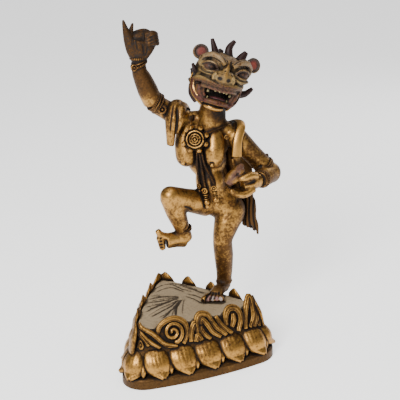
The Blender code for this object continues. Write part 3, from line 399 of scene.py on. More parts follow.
class Carving:
    """Carves lines into a finished skin and paints it, and keeps what the material reads."""

    def __init__(self, obj):
        self.mesh = obj.data
        self.points = vertex_vectors(self.mesh, "co")
        self.normals = vertex_vectors(self.mesh, "normal")
        self.rest = self.points.copy()
        count = len(self.points)
        self.ink, self.worn, self.cover = np.zeros(count), np.zeros(count), np.zeros(count)
        self.colour = np.ones((count, 4))
        self.colour[:, :3] = 0.5

    def near(self, stops, reach, facing=None):
        """The vertices within reach of a line, their distances, and their places along it."""
        stops = [np.array(s, float) for s in stops]
        low, high = np.min(stops, axis=0) - reach, np.max(stops, axis=0) + reach
        chosen = ((self.rest > low) & (self.rest < high)).all(axis=1)
        if facing is not None:
            chosen &= self.normals @ np.array(facing, float) > 0.05
        index = np.nonzero(chosen)[0]
        if not len(index):
            return index, np.zeros(0), np.zeros(0)
        gap, along = line_distances(self.rest[index], stops)
        close = gap < reach
        return index[close], gap[close], along[close]

    def groove(self, stops, width, depth, ink=1.0, taper=True, facing=None):
        """A groove along a line, with dirt in it. A depth below 0 raises a ridge."""
        index, gap, along = self.near(curve_through(stops), width * GROOVE_REACH, facing)
        profile = np.exp(-((gap / width) ** 2) * 1.6)
        if taper:
            profile *= unit(4.5 * np.minimum(along + 0.06, 1.06 - along))
        self.points[index] -= self.normals[index] * (profile * depth)[:, None]
        self.ink[index] = np.maximum(self.ink[index], profile * ink)

    def brush(self, stops, width, colour, strength, facing=None):
        """Paint laid along a line, soft at its edges."""
        index, gap, _ = self.near(curve_through(stops), width, facing)
        self.wash(unit(EDGE_HARDNESS * (1 - gap / width)) * strength, colour, index)

    def wash(self, amount, colour, index=slice(None)):
        """Paint laid by an amount from 0 to 1 for each vertex, over the paint that is there."""
        below = self.cover[index] * (1 - amount)
        weight = (amount / np.maximum(amount + below, 1e-6))[:, None]
        self.colour[index] = self.colour[index] * (1 - weight) + np.array(linear(colour)) * weight
        self.cover[index] = np.maximum(self.cover[index], amount)

    def bare(self, stops, width, strength=1.0):
        """Takes paint and wear off along a line, so that gold shows."""
        index, gap, _ = self.near(curve_through(stops), width)
        keep = 1 - unit(EDGE_HARDNESS * (1 - gap / width)) * strength
        self.cover[index] *= keep
        self.ink[index] *= keep
        self.worn[index] = self.worn[index] * keep - 0.5 * (1 - keep)

    def scratch(self, places, width, depth, **options):
        """A groove through places of the figure, in shares."""
        self.groove(spots(places), share(width), share(depth), **options)

    def paint(self, places, width, colour, strength, **options):
        """Paint through places of the figure, in shares."""
        self.brush(spots(places), share(width), colour, strength, **options)

    def darken(self, ink):
        """Dirt and, on the figure, painted shade, where there isn't more of it yet."""
        self.ink = np.maximum(self.ink, ink)

    def done(self):
        """Writes the carved places and what the material reads into the mesh."""
        self.mesh.vertices.foreach_set("co", self.points.ravel())
        for name in ("ink", "worn", "cover"):
            write_values(self.mesh, name, getattr(self, name))
        paint = self.mesh.attributes.new("paint", "FLOAT_COLOR", "POINT")
        paint.data.foreach_set("color", self.colour.ravel())
        self.mesh.update()


def curve_through(stops, steps=5):
    """Points along a smooth curve through the stops."""
    if len(stops) < 3:
        return [Vector(s) for s in stops]
    return [point for point, _ in smooth_path([(s, 0.0) for s in stops], steps)]


def mark_hollows_for_dirt_and_shade(pieces):
    """Gives every piece the attribute hollow: 0 in the open, 1 deep between things that stand close. The
    material lays dirt and painted shade by it.
    """
    cell = HOLLOW_CELL
    chance = np.random.default_rng(11)
    skins = {}
    for obj in pieces:
        mesh = obj.data
        mesh.calc_loop_triangles()
        points = vertex_vectors(mesh, "co")
        corners = np.empty(len(mesh.loop_triangles) * 3, int)
        mesh.loop_triangles.foreach_get("vertices", corners)
        corners = points[corners].reshape(-1, 3, 3)
        across = np.cross(corners[:, 1] - corners[:, 0], corners[:, 2] - corners[:, 0])
        area = np.linalg.norm(across, axis=1) / 2
        tries = np.ceil(area / (HOLLOW_SAMPLES * cell * cell)).astype(int)
        owner = np.repeat(np.arange(len(area)), tries)
        a, b = chance.random(len(owner)), chance.random(len(owner))
        swap = a + b > 1
        a[swap], b[swap] = 1 - a[swap], 1 - b[swap]
        tri = corners[owner]
        inside = tri[:, 0] + a[:, None] * (tri[:, 1] - tri[:, 0]) + b[:, None] * (tri[:, 2] - tri[:, 0])
        skins[obj.name] = (points, vertex_vectors(mesh, "normal"), inside)
    low = np.min([s[2].min(axis=0) for s in skins.values()], axis=0) - 8 * cell
    high = np.max([s[2].max(axis=0) for s in skins.values()], axis=0) + 8 * cell
    size = np.ceil((high - low) / cell).astype(int)
    full = np.zeros(size, np.float32)
    for _, _, inside in skins.values():
        i, j, k = ((inside - low) / cell).astype(int).T
        full[i, j, k] = 1.0
    for axis in range(3):
        for reach in (1, 2):
            total = np.cumsum(full, axis=axis)
            total = np.roll(total, -reach, axis) - np.roll(total, reach + 1, axis)
            full = total / (2 * reach + 1)
    for obj in pieces:
        points, normals, _ = skins[obj.name]
        ahead = (points + normals * HOLLOW_AHEAD * cell - low) / cell - 0.5
        whole = np.floor(ahead).astype(int)
        part = ahead - whole
        closed = np.zeros(len(points))
        for step in itertools.product((0, 1), repeat=3):
            weight = np.abs(1 - np.array(step) - part).prod(axis=1)
            i, j, k = np.clip(whole + step, 0, size - 1).T
            closed += weight * full[i, j, k]
        write_values(obj.data, "hollow", unit((closed - HOLLOW_LEAST) / HOLLOW_RANGE))


# The base


def outline_arcs():
    """The arcs of the outline as (centre, radius, start angle, turn), anticlockwise from the first corner."""
    bulge = math.radians(BASE_SIDE_BULGE_DEG)
    corner_turn = math.radians(120) - bulge
    corner_centre = BASE_CORNER_REACH - BASE_CORNER_ROUND
    reach = corner_centre * math.sin(math.radians(60)) / math.sin(bulge / 2)
    setback = reach * math.cos(bulge / 2) - corner_centre * 0.5
    arcs = []
    for corner_deg in (210, 330, 90):
        corner = math.radians(corner_deg)
        centre = Vector((math.cos(corner), math.sin(corner), 0)) * corner_centre
        arcs.append((centre, BASE_CORNER_ROUND, corner - corner_turn / 2, corner_turn))
        side = corner + math.radians(60)
        centre = Vector((math.cos(side), math.sin(side), 0)) * -setback
        arcs.append((centre, reach + BASE_CORNER_ROUND, side - bulge / 2, bulge))
    return arcs


def wall_point(around, inset, level):
    """A point of the base's wall and its outward direction. around is 0 to 3: 0, 1 and 2 are the corners."""
    arcs = outline_arcs()
    lengths = [radius * turn for _, radius, _, turn in arcs]
    along = (around % 3) * (lengths[0] + lengths[1]) + lengths[0] / 2
    along %= sum(lengths)
    for (centre, radius, start, turn), length in zip(arcs, lengths):
        if along <= length:
            break
        along -= length
    angle = start + turn * along / length
    outward = Vector((math.cos(angle), math.sin(angle), 0))
    return centre + outward * (radius - inset) + Vector((0, 0, level)), outward


def base_core(shapes):
    """The body under the petals: plinth, waist behind the petals, sloping frieze and flat top."""
    below = -3 * MM
    profile = [
        (0, below),
        (0, PLINTH_HEIGHT - PLINTH_EDGE_ROUND),
        (PLINTH_EDGE_ROUND, PLINTH_HEIGHT),
        (PETAL_CORE_INSET, PLINTH_HEIGHT + 2 * MM),
        (PETAL_CORE_INSET - 2 * MM, (PETAL_TOP_LEVEL + PETAL_TIP_LEVEL) / 2),
        (FRIEZE_INSET, PETAL_TOP_LEVEL),
        (TOP_INSET, BASE_HEIGHT),
    ]
    around = [3 * k / 96 for k in range(96)]
    rings = []
    for inset, level in profile:
        rings.append([shapes.bm.verts.new(wall_point(a, inset, level)[0]) for a in around])
    for low, high in zip(rings, rings[1:]):
        for k in range(len(around)):
            m = (k + 1) % len(around)
            shapes.bm.faces.new((low[k], low[m], high[m], high[k]))
    shapes.bm.faces.new(list(reversed(rings[0])))
    shapes.bm.faces.new(rings[-1])


def petal_place(k):
    """Where a lower petal stands and its half width, as shares of a side. The front left one is broad."""
    if k == 0:
        return -0.025, 0.117
    return (k + 0.11) / LOWER_PETALS_PER_SIDE, 0.5 / LOWER_PETALS_PER_SIDE


def petal_taper(t):
    """How the width of a lower petal closes to its tip, as a share, for t from 0 at the top to 1."""
    u = max(0.0, (t - 0.56) / 0.44)
    return max(0.05, (1 - u**2.1) ** 0.8)


def petal_between(shapes, around):
    """The tip of the petal behind, seen between two petals of the lower row."""
    low, _ = wall_point(around, 3.0 * MM, PETAL_TIP_LEVEL + 0.5 * MM)
    middle, _ = wall_point(around, 4.2 * MM, PETAL_TIP_LEVEL + 5 * MM)
    high, _ = wall_point(around, 7.5 * MM, PETAL_TIP_LEVEL + 11 * MM)
    shapes.tube([(high, 2.6 * MM), (middle, 2.8 * MM), (low, 0.6 * MM)], sides=18, steps=6)


def upper_petal(shapes, around, half_width):
    """A leaf-shaped petal that stands up from the frieze and shows its point above the top."""
    foot, outward = wall_point(around, FRIEZE_INSET, PETAL_TOP_LEVEL - 2 * MM)
    half_way = (FRIEZE_INSET + TOP_INSET) / 2 - 1 * MM, (PETAL_TOP_LEVEL + BASE_HEIGHT) / 2 + 2 * MM
    middle, _ = wall_point(around, *half_way)
    neck, _ = wall_point(around, TOP_INSET - 2 * MM, BASE_HEIGHT + 1.5 * MM)
    tip, _ = wall_point(around, TOP_INSET - 2 * MM, BASE_HEIGHT + UPPER_PETAL_RISE)
    stations = [(foot, half_width), (middle, half_width)]
    stations += [(neck, half_width * 0.72), (tip, half_width * 0.07)]
    shapes.tube(stations, sides=28, steps=10, flat=0.32, flat_axis=outward)


def frieze_outward(outward):
    """The frieze leans back, so it faces a little upwards."""
    return (outward + Vector((0, 0, FRIEZE_TILT))).normalized()


def frieze_point(along, up, lift):
    """A point on the front frieze: along runs 0 to 1 from left corner to right, up 0 to 1 to the top."""
    inset = FRIEZE_INSET + (TOP_INSET - FRIEZE_INSET) * up
    level = PETAL_TOP_LEVEL + (BASE_HEIGHT - PETAL_TOP_LEVEL) * up
    point, outward = wall_point(along, inset, level)
    return point + frieze_outward(outward) * lift


def front_scrolls(shapes):
    """The cloud scrolls and leaf strands along the front, between the petals and the top."""
    coil(shapes, 0.315, 0.68, 10 * MM, 1.8, 270)
    coil(shapes, 0.075, 0.30, 5.0 * MM, 1.5, 200, mirror=-1, thick=0.65)
    for thick, *stops in (
        (1.2, (-0.03, 1.25), (0.1, 1.05), (0.19, 0.7), (0.25, 0.25), (0.33, 0.05)),
        (1.1, (-0.05, 1.02), (0.07, 0.85), (0.15, 0.5), (0.22, 0.1)),
        (0.9, (-0.06, 0.75), (-0.03, 0.95), (0.04, 0.8), (0.11, 0.62), (0.15, 0.25)),
        (1.1, (-0.08, 1.15), (-0.12, 0.75), (-0.1, 0.25)),
        (1.1, (0.205, 0.55), (0.235, 1), (0.29, 1.22), (0.35, 1.22), (0.4, 0.95), (0.405, 0.5), (0.37, 0.1)),
        (1.2, (0.42, 0.12), (0.435, 0.6), (0.465, 0.88), (0.475, 0.5)),
        (1.2, (0.45, 0.08), (0.47, 0.34), (0.49, 0.08)),
        (1.2, (0.475, 0.35), (0.475, 0.9), (0.505, 1.2), (0.555, 1.12), (0.575, 0.8)),
        (1.1, (0.5, 0.75), (0.515, 0.98), (0.545, 0.7), (0.57, 0.35), (0.62, 0.04)),
        (1.0, (0.5, 0.72), (0.505, 0.42), (0.55, 0.06)),
        (1.1, (0.575, 0.88), (0.6, 0.5), (0.66, 0.06)),
        (1.0, (0.61, 0.96), (0.64, 0.52), (0.7, 0.06)),
        (1.3, (0.67, 0.45), (0.68, 0.9), (0.715, 1.16), (0.765, 1.04), (0.78, 0.6), (0.745, 0.08)),
        (1.2, (0.735, 0.9), (0.725, 0.6), (0.705, 0.34)),
        (1.2, (0.8, 0.08), (0.815, 0.65), (0.85, 1.2), (0.9, 1.42), (0.91, 1), (0.875, 0.5), (0.83, 0.1)),
        (1.2, (0.86, 0.06), (0.92, 0.45), (0.97, 0.95)),
        (1.1, (0.92, 0.02), (0.98, 0.35), (1.03, 0.85)),
    ):
        strand(shapes, stops, thick)


def fold_line(k):
    """One of the folds on top: three points from where they gather towards its end. k may be between two."""
    gather = Vector((4 * MM, 14 * MM, BASE_HEIGHT))
    angle = math.radians(138 + 13.6 * k)
    reach = (BASE_CORNER_REACH - TOP_INSET) * (0.50 + 0.27 * math.exp(-((angle - 3.75) / 0.52) ** 2))
    tip = gather + Vector((math.cos(angle), math.sin(angle), 0)) * reach
    bend = Vector((-math.sin(angle), math.cos(angle), 0)) * reach * 0.07 * math.sin(2.2 * k + 1)
    return gather * 0.86 + tip * 0.14, gather * 0.45 + tip * 0.55 + bend, tip


TOP_LINES = (
    ((-15, 44), (-4, 50), (4, 48), (9, 35), (16, 22)),
    ((-15, 37), (-5, 41), (3, 39), (9, 26)),
    ((3, 53), (12, 41), (19, 25), (24, 12)),
    ((12, 46), (18, 33), (22, 21), (26, 14)),
    ((7, 15), (11, 6), (14, -6)),
    ((10, 20), (16, 11), (19, 2)),
)


def carve_folds(carving):
    """The folded cloth on top: furrows between ridges that fan out from one place, and lines behind."""
    up = (0, 0, 1)
    for k in range(2 * TOP_FOLDS - 1):
        lines = fold_line(k / 2)
        if k % 2:
            carving.groove(lines, 1.1 * MM, 1.4 * MM, ink=0.75, facing=up)
        else:
            carving.groove(lines, 1.6 * MM, -0.7 * MM, ink=0.0, facing=up)
            beside = [point + Vector((0.7 * MM, -1.6 * MM, 0)) for point in lines]
            carving.groove(beside, 0.7 * MM, 0.5 * MM, ink=0.3, facing=up)
    for line in TOP_LINES:
        stops = [Vector((x * MM, y * MM, BASE_HEIGHT)) for x, y in line]
        carving.groove(stops, 1.0 * MM, 1.0 * MM, ink=0.5, facing=up)


def base_body():
    """Plinth, waist behind the petals, frieze and the folded top, as one uneven casting."""
    shapes = Shapes()
    base_core(shapes)
    body = shapes.finish("base_body")
    fuse(body, BASE_VOXEL, 2)
    cut_flat(body, 0)
    carving = Carving(body)
    p, n = carving.rest, carving.normals
    top = (p[:, 2] > BASE_HEIGHT - 1 * MM) & (n[:, 2] > 0.6)
    swell = np.sin(p[:, 0] * 130 + 1.3 * np.sin(p[:, 1] * 110)) * np.sin(p[:, 1] * 95 + 1.0)
    ripple = np.sin(p[:, 0] * 620 + 2.4 * np.sin(p[:, 1] * 240))
    ripple *= np.sin(p[:, 1] * 540 + 1.9 * np.sin(p[:, 0] * 300))
    carving.points[top, 2] += (swell[top] * 0.35 + ripple[top] * 0.16) * MM
    carve_folds(carving)
    dull = unit((p[:, 2] - BASE_HEIGHT + 3.5 * MM) / (3 * MM)) * unit(n[:, 2] * 2)
    carving.wash(dull * (0.70 + 0.12 * swell + 0.08 * ripple), "#a08c6e")
    plinth = unit((PLINTH_HEIGHT + 1 * MM - p[:, 2]) / (1 * MM))
    wobble = np.sin(p[:, 0] * 160 + 2 * np.sin(p[:, 1] * 120)) + np.sin(p[:, 1] * 190 + p[:, 2] * 300)
    raised = (p[:, 2] > 0.2 * MM) & (p[:, 2] < PLINTH_HEIGHT)
    carving.points[raised] += carving.normals[raised] * (wobble[raised] * 0.16 * MM)[:, None]
    carving.worn += 0.42 * plinth + 0.5 * (1 - plinth) * (1 - dull)
    carving.darken(0.15 * plinth)
    frieze = (p[:, 2] > PETAL_TOP_LEVEL) & (n[:, 2] < 0.7)
    carving.ink[frieze] = np.maximum(carving.ink[frieze], 0.05)
    carving.done()
    return body


def petal_rows(around, half_width):
    """The middle surface of a lower petal, with its fine upright flutes."""
    steps, across = PETAL_STEPS, PETAL_STEPS_ACROSS
    rows = []
    for i in range(steps + 1):
        t = i / steps
        level = PETAL_TOP_LEVEL + (PETAL_TIP_LEVEL - PETAL_TOP_LEVEL) * t
        inset = FRIEZE_INSET * (1 - t) ** 1.6 - PETAL_BELLY * math.sin(math.pi * min(1, 1.15 * t + 0.08))
        inset += PETAL_THICKNESS / 2 - PETAL_TIP_REACH * t**6
        width = half_width * (0.93 + 0.07 * math.sin(math.pi * t)) * petal_taper(t)
        lean = PETAL_LEAN * t**3
        row = []
        for j in range(across + 1):
            v = 2 * j / across - 1
            flute = math.cos(v * math.pi * 7 + 0.6 * math.sin(around * 31 + 4 * v)) * 0.13 * MM * (1 - t**3)
            sunk = inset + PETAL_CROWN * abs(v) ** 2.4 * (1 - 0.5 * t**4)
            if abs(v) < 0.85:
                sunk += flute
            row.append(wall_point(around + lean + v * width, sunk, level)[0])
        rows.append(row)
    return rows


def lower_petals():
    """The row of broad petals, each fluted, with the points of the petals behind between them."""
    shapes = Shapes()
    for k in range(3 * LOWER_PETALS_PER_SIDE):
        shapes.plate(petal_rows(*petal_place(k)), PETAL_THICKNESS)
    petals = shapes.finish("lower_petals")
    shapes = Shapes()
    for k in range(3 * LOWER_PETALS_PER_SIDE):
        around, half = petal_place(k)
        petal_between(shapes, around + half)
    behind = shapes.finish("petals_behind")
    for obj in (petals, behind):
        carving = Carving(obj)
        high = (carving.rest[:, 2] - PETAL_TIP_LEVEL) / (PETAL_TOP_LEVEL - PETAL_TIP_LEVEL)
        carving.worn = 0.30 * unit(high - 0.45) - 0.10
        carving.done()
    return [petals, behind]


def standing_petals():
    """The leaf-shaped petals that stand round the top, with a ridge up the middle."""
    shapes = Shapes()
    for k in range(UPPER_PETALS_PER_SIDE, 3 * UPPER_PETALS_PER_SIDE):
        upper_petal(shapes, (k + 0.45) / UPPER_PETALS_PER_SIDE, UPPER_PETAL_HALF_WIDTH)
    petals = shapes.finish("standing_petals")
    fuse(petals, BASE_VOXEL, 1)
    carving = Carving(petals)
    for k in range(UPPER_PETALS_PER_SIDE, 3 * UPPER_PETALS_PER_SIDE):
        around = (k + 0.45) / UPPER_PETALS_PER_SIDE
        low, outward = wall_point(around, FRIEZE_INSET - 2 * MM, PETAL_TOP_LEVEL + 2 * MM)
        high, _ = wall_point(around, TOP_INSET - 4.5 * MM, BASE_HEIGHT + 5 * MM)
        carving.groove([low, high], 1.0 * MM, -0.7 * MM, ink=0.0, facing=outward)
        for side in (-1, 1):
            stops = []
            for share_up in (0.05, 0.45, 0.85):
                spread_out = side * 0.020 * (1 - 0.75 * share_up)
                inset = FRIEZE_INSET - 2 * MM + (TOP_INSET - FRIEZE_INSET) * share_up
                level = PETAL_TOP_LEVEL + 2 * MM + (BASE_HEIGHT - PETAL_TOP_LEVEL) * share_up
                stops.append(wall_point(around + spread_out, inset, level)[0])
            carving.groove(stops, 0.7 * MM, 0.4 * MM, ink=0.7, facing=outward)
    carving.worn += 0.08
    carving.done()
    return petals


def reeds(shapes, stations, outward):
    """Fine raised lines along a band, with grooves between them."""
    path = smooth_path(stations, 5)
    for offset in (-0.62, 0, 0.62):
        line = []
        for k, (p, r) in enumerate(path):
            ahead = (path[min(k + 1, len(path) - 1)][0] - path[max(k - 1, 0)][0]).normalized()
            out = (outward - ahead * outward.dot(ahead)).normalized()
            proud = r * SCROLL_FLAT * (0.92 if offset == 0 else 0.62)
            line.append((p + ahead.cross(out) * r * offset + out * proud, max(r * 0.24, 0.25 * MM)))
        shapes.tube(line, sides=8, steps=1)


def strand(shapes, stops, thick):
    """A scroll's strand on the frieze, a flat band with raised lines along it."""
    count = len(stops) - 1
    stations = []
    for k, (along, up) in enumerate(stops):
        swell = 0.65 + 0.5 * math.sin(math.pi * (k + 0.3) / (count + 0.6))
        stations.append((frieze_point(along, up, SCROLL_RADIUS * 0.5), SCROLL_RADIUS * swell * thick))
    _, outward = wall_point(stops[0][0], 0, 0)
    shapes.tube(stations, sides=18, steps=6, flat=SCROLL_FLAT, flat_axis=outward)
    reeds(shapes, stations, frieze_outward(outward))


def coil(shapes, along, up, size, turns, start_deg, mirror=1, thick=1.0):
    """A coiled scroll on the frieze, of radius size, wound inwards, with a line along it."""
    side_length = (wall_point(0.52, 0, 0)[0] - wall_point(0.48, 0, 0)[0]).length / 0.04
    slope = math.hypot(TOP_INSET - FRIEZE_INSET, BASE_HEIGHT - PETAL_TOP_LEVEL)
    for ring, wide, proud in ((0, 1, 0), (0.14, 0.28, 1.5), (-0.02, 0.28, 1.6)):
        stations = []
        count = int(20 * turns)
        for k in range(count + 1):
            t = k / count
            angle = math.radians(start_deg) + mirror * 2 * math.pi * turns * t
            radius = size * (1 - 0.88 * t) * (1 + ring - 0.06)
            place = along + math.cos(angle) * radius / side_length, up + math.sin(angle) * radius / slope
            lift = (0.7 + 0.9 * t) * MM + proud * MM * thick
            stations.append((frieze_point(*place, lift), SCROLL_RADIUS * thick * (1 - 0.25 * t) * wide))
        shapes.tube(stations, sides=12, steps=1)


def frieze_scrolls():
    """The cloud scrolls and leaf strands along the front."""
    shapes = Shapes()
    front_scrolls(shapes)
    scrolls = shapes.finish("frieze_scrolls")
    carving = Carving(scrolls)
    carving.worn -= 0.12
    carving.done()
    return scrolls


# The figure: places are shares of its height, in hundredths, from the sole of the standing foot.

POSE = {
    "ankle_l": (1.5, 0.1, 4),
    "calf_low": (1.6, -0.5, 8),
    "calf_l": (1.1, -2, 14.5),
    "knee_l": (0.5, -3.4, 20.8),
    "thigh_l": (2.2, -2.9, 25.6),
    "hip_l": (4.6, -1.4, 30.6),
    "pelvis": (1.9, 0.2, 33.6),
    "hip_r": (-2.9, 1.2, 33.6),
    "thigh_r": (-11, -1.6, 37),
    "knee_r": (-18.2, -4, 40.4),
    "shin_r": (-15.9, -2.9, 33.9),
    "ankle_r": (-13.4, -1.2, 26.8),
    "heel_r": (-12, -0.1, 22.3),
    "ball_r": (-19.4, -0.6, 23.1),
    "waist": (-1.2, 0.4, 42.1),
    "chest": (-1.8, 1.6, 54),
    "neck_base": (0.5, 1.5, 62.4),
    "neck_top": (1.3, 0, 69.3),
    "head": (2.8, -2.9, 78),
    "shoulder_r": (-8.6, 6, 64),
    "elbow_r": (-18.2, 6.2, 70.9),
    "wrist_low": (-22.7, 4.4, 82.4),
    "wrist_r": (-22.8, 4.4, 86.3),
    "shoulder_l": (7.6, -2.6, 57),
    "elbow_l": (19.2, -4.6, 42.7),
    "wrist_l": (12.4, -10.7, 42.7),
    "palm_l": (8.4, -12, 42.6),
    "rosette": (-7.2, -2.8, 58.4),
}
HEAD_TURN_DEG = -12
HEAD_LEAN_DEG = 20
HEAD_RAISE_DEG = 8
NOSE_ASIDE = -1.0
TORSO_TURN_DEG = -40
NIPPLES = ((-6.6, 49.8), (3.9, 49.6))
FOOT_TURN_DEG = -42


def share(value):
    """Metres, from hundredths of the figure's height."""
    return value * FIGURE_HEIGHT / 100


def spot(place):
    """The point of the row frame at a place of the figure, by name or as shares."""
    shares = POSE[place] if isinstance(place, str) else place
    foot = Vector((STAND_X, STAND_Y, BASE_HEIGHT + SEAT_GAP))
    return foot + Vector(shares) * (FIGURE_HEIGHT / 100)


def place_and_radius(station):
    """A station is a place, by name, as a point or as three numbers, and then a radius."""
    *place, radius = station
    return place if len(place) == 3 else place[0], radius


def limb(shapes, stations, **options):
    """A tube through stations, in shares."""
    pairs = [place_and_radius(station) for station in stations]
    shapes.tube([(spot(place), share(radius)) for place, radius in pairs], **options)


def lump(shapes, place, radii, turn=(0, 0, 0), cut=20):
    """An ellipsoid at a place, in shares."""
    shapes.ball(spot(place), [share(r) for r in radii], turn, cut)


def between(a, b, t):
    """The shares at t of the way from one place to another."""
    a = Vector(POSE[a] if isinstance(a, str) else a)
    b = Vector(POSE[b] if isinstance(b, str) else b)
    return a.lerp(b, t)


def turned(across, forwards, turn_deg):
    """The step in X and Y that goes across and forwards for a body turned about Z."""
    turn = math.radians(turn_deg)
    return Vector((
        math.cos(turn) * across + math.sin(turn) * forwards,
        math.sin(turn) * across - math.cos(turn) * forwards,
        0,
    ))


def chest_point(across, level, forwards):
    """A point by the front of the torso, in shares: across to the figure's left, forwards from its axis."""
    return between("waist", "chest", (level - 42.1) / 11.9) + turned(across, forwards, TORSO_TURN_DEG)


def torso(shapes):
    """Hips, belly, ribs, shoulders, neck and breasts."""
    turn = (0, 0, TORSO_TURN_DEG)
    lump(shapes, "pelvis", (7.4, 5.6, 5.6), (0, 0, -20))
    lump(shapes, (0.2, 1, 37.6), (6.2, 5.2, 5.4), (0, 0, -28))
    lump(shapes, chest_point(0, 42, 0.6), (5.3, 4.6, 7), turn)
    lump(shapes, chest_point(-0.4, 50, 0.2), (7.2, 5.2, 7.2), turn)
    lump(shapes, chest_point(-1, 56, -0.2), (9.4, 5.8, 6.8), (0, 12, TORSO_TURN_DEG))
    lump(shapes, (-0.2, 2, 61.2), (7.8, 3.8, 3.6), (0, 18, TORSO_TURN_DEG + 10))
    limb(shapes, [("chest", 5.0), ("neck_base", 5.1), ("neck_top", 4.3), ("head", 4.2)])
    lump(shapes, (-4.4, 4.2, 63.6), (5.2, 3.4, 2.8), (0, -4, -30))
    lump(shapes, (4.8, -0.4, 59.8), (4.6, 3.2, 2.8), (0, 34, -30))
    lump(shapes, "shoulder_r", (4, 3.9, 3.8))
    lump(shapes, "shoulder_l", (3.8, 3.8, 3.8))
    for breast in (
        ((-5.4, 59.6, 1.2, 3.9), (-5.8, 55.6, 3.2, 4.1), (-5.9, 51.7, 4.2, 3.9)),
        ((3.8, 58, 1.4, 3.6), (4.1, 54, 3.3, 3.7), (4.1, 51.2, 4.1, 3.3)),
    ):
        limb(shapes, [(chest_point(*place), radius) for *place, radius in breast])
        for *place, radius in breast[::2]:
            lump(shapes, chest_point(*place), (radius, radius, radius), cut=16)
    for across, level in NIPPLES:
        lump(shapes, chest_point(across, level, 7.2), (0.8, 0.8, 0.8))
    lump(shapes, (2.9, -6, 58.5), (0.7, 0.6, 0.7))


def legs(shapes):
    """The standing left leg, and the raised right one with its foot."""
    limb(shapes, [
        ("pelvis", 5.4), ("hip_l", 5.5), ("thigh_l", 4.4), ("knee_l", 3.45), ("calf_l", 3.45),
        ("calf_low", 2.95), ("ankle_l", 2.6),
    ])
    lump(shapes, (0.2, -4.6, 21.4), (2.7, 2.2, 2.4))
    limb(shapes, [("hip_r", 4.8), ("thigh_r", 4.0), ("knee_r", 3.5)])
    lump(shapes, (-18, -4.2, 40.5), (3.5, 3.5, 3.4))
    limb(shapes, [("knee_r", 3.5), ("shin_r", 3.5), ("ankle_r", 2.6), ("heel_r", 2.5)])
    foot = [("heel_r", 3.0), (-15.6, -0.5, 23.1, 2.9), ("ball_r", 2.8)]
    limb(shapes, foot, flat=0.8, flat_axis=(0, 1, 0))


def points_round(place, ahead, radius, count):
    """Points on a circle round a place, its axis along ahead. The last one is the first again."""
    ahead = Vector(ahead).normalized()
    side = ahead.orthogonal().normalized()
    other = ahead.cross(side)
    points = []
    for k in range(count + 1):
        angle = 2 * math.pi * k / count
        points.append(spot(place) + (side * math.cos(angle) + other * math.sin(angle)) * share(radius))
    return points


def bead_ring(shapes, place, ahead, radius, thick):
    """A bracelet round the limb at a place, its axis along ahead."""
    loop = [(point, share(thick)) for point in points_round(place, ahead, radius, 16)]
    shapes.tube(loop, sides=10, steps=1)


def standing_foot(shapes):
    """The foot on the base, its five toes spread forwards, and the ring round its ankle."""
    limb(shapes, [("calf_low", 2.95), ("ankle_l", 2.6), (1.4, 0.2, 2.2, 2.5), (1.2, -0.2, 0.9, 2.2)])
    sole = [(1.2, -0.6, 1.6, 2.2), (-1.8, -3.2, 2.2, 2.4), (-4.8, -6, 1.3, 2.4)]
    limb(shapes, sole, flat=0.8, flat_axis=(0, 0, 1))
    bead_ring(shapes, (1.5, 0.1, 3.6), (0, 0, 1), 2.6, 0.6)
    for k in range(5):
        spread = k - 1.8
        root = Vector((-4.8, -6, 1.4)) + turned(1.15 * spread, 0.4, FOOT_TURN_DEG)
        tip = root + turned(0.55 * spread, 3.3 - 0.4 * k, FOOT_TURN_DEG) - Vector((0, 0, 0.5))
        radius = 1.25 if k == 0 else 0.95
        limb(shapes, [(root, radius), (between(root, tip, 0.6), radius), (tip, radius * 0.8)])


def raised_toes(shapes):
    """The raised foot's big toe turned up, and the others curled one above another."""
    big_toe = [(-19, -0.8, 24.8, 1.4), (-21.2, -0.9, 25.8, 1.35), (-22.4, -0.8, 27.9, 0.9)]
    limb(shapes, big_toe)
    for k in range(4):
        level = 24.6 - 1.15 * k
        knuckle, tip = (-22.0 + 0.25 * k, -1.0, level + 0.2), (-21.8 + 0.25 * k, -2.2, level)
        limb(shapes, [((-20.2, -0.7, level), 1.1), (knuckle, 1.05), (tip, 0.8)])


def arms(shapes):
    """The raised right arm, and the left one bent to the hip."""
    limb(shapes, [("shoulder_r", 3.9), (between("shoulder_r", "elbow_r", 0.5), 3.4), ("elbow_r", 3.2)])
    forearm = [(between("elbow_r", "wrist_low", 0.4), 3.5), (between("elbow_r", "wrist_low", 0.8), 3.05)]
    limb(shapes, [("elbow_r", 3.3), *forearm, ("wrist_low", 2.6), ("wrist_r", 2.3)])
    limb(shapes, [("shoulder_l", 3.9), (between("shoulder_l", "elbow_l", 0.5), 3.4), ("elbow_l", 3.5)])
    lump(shapes, "elbow_l", (3.8, 3.8, 3.8))
    limb(shapes, [("elbow_l", 3.7), (between("elbow_l", "wrist_l", 0.55), 3.3), ("wrist_l", 2.4)])


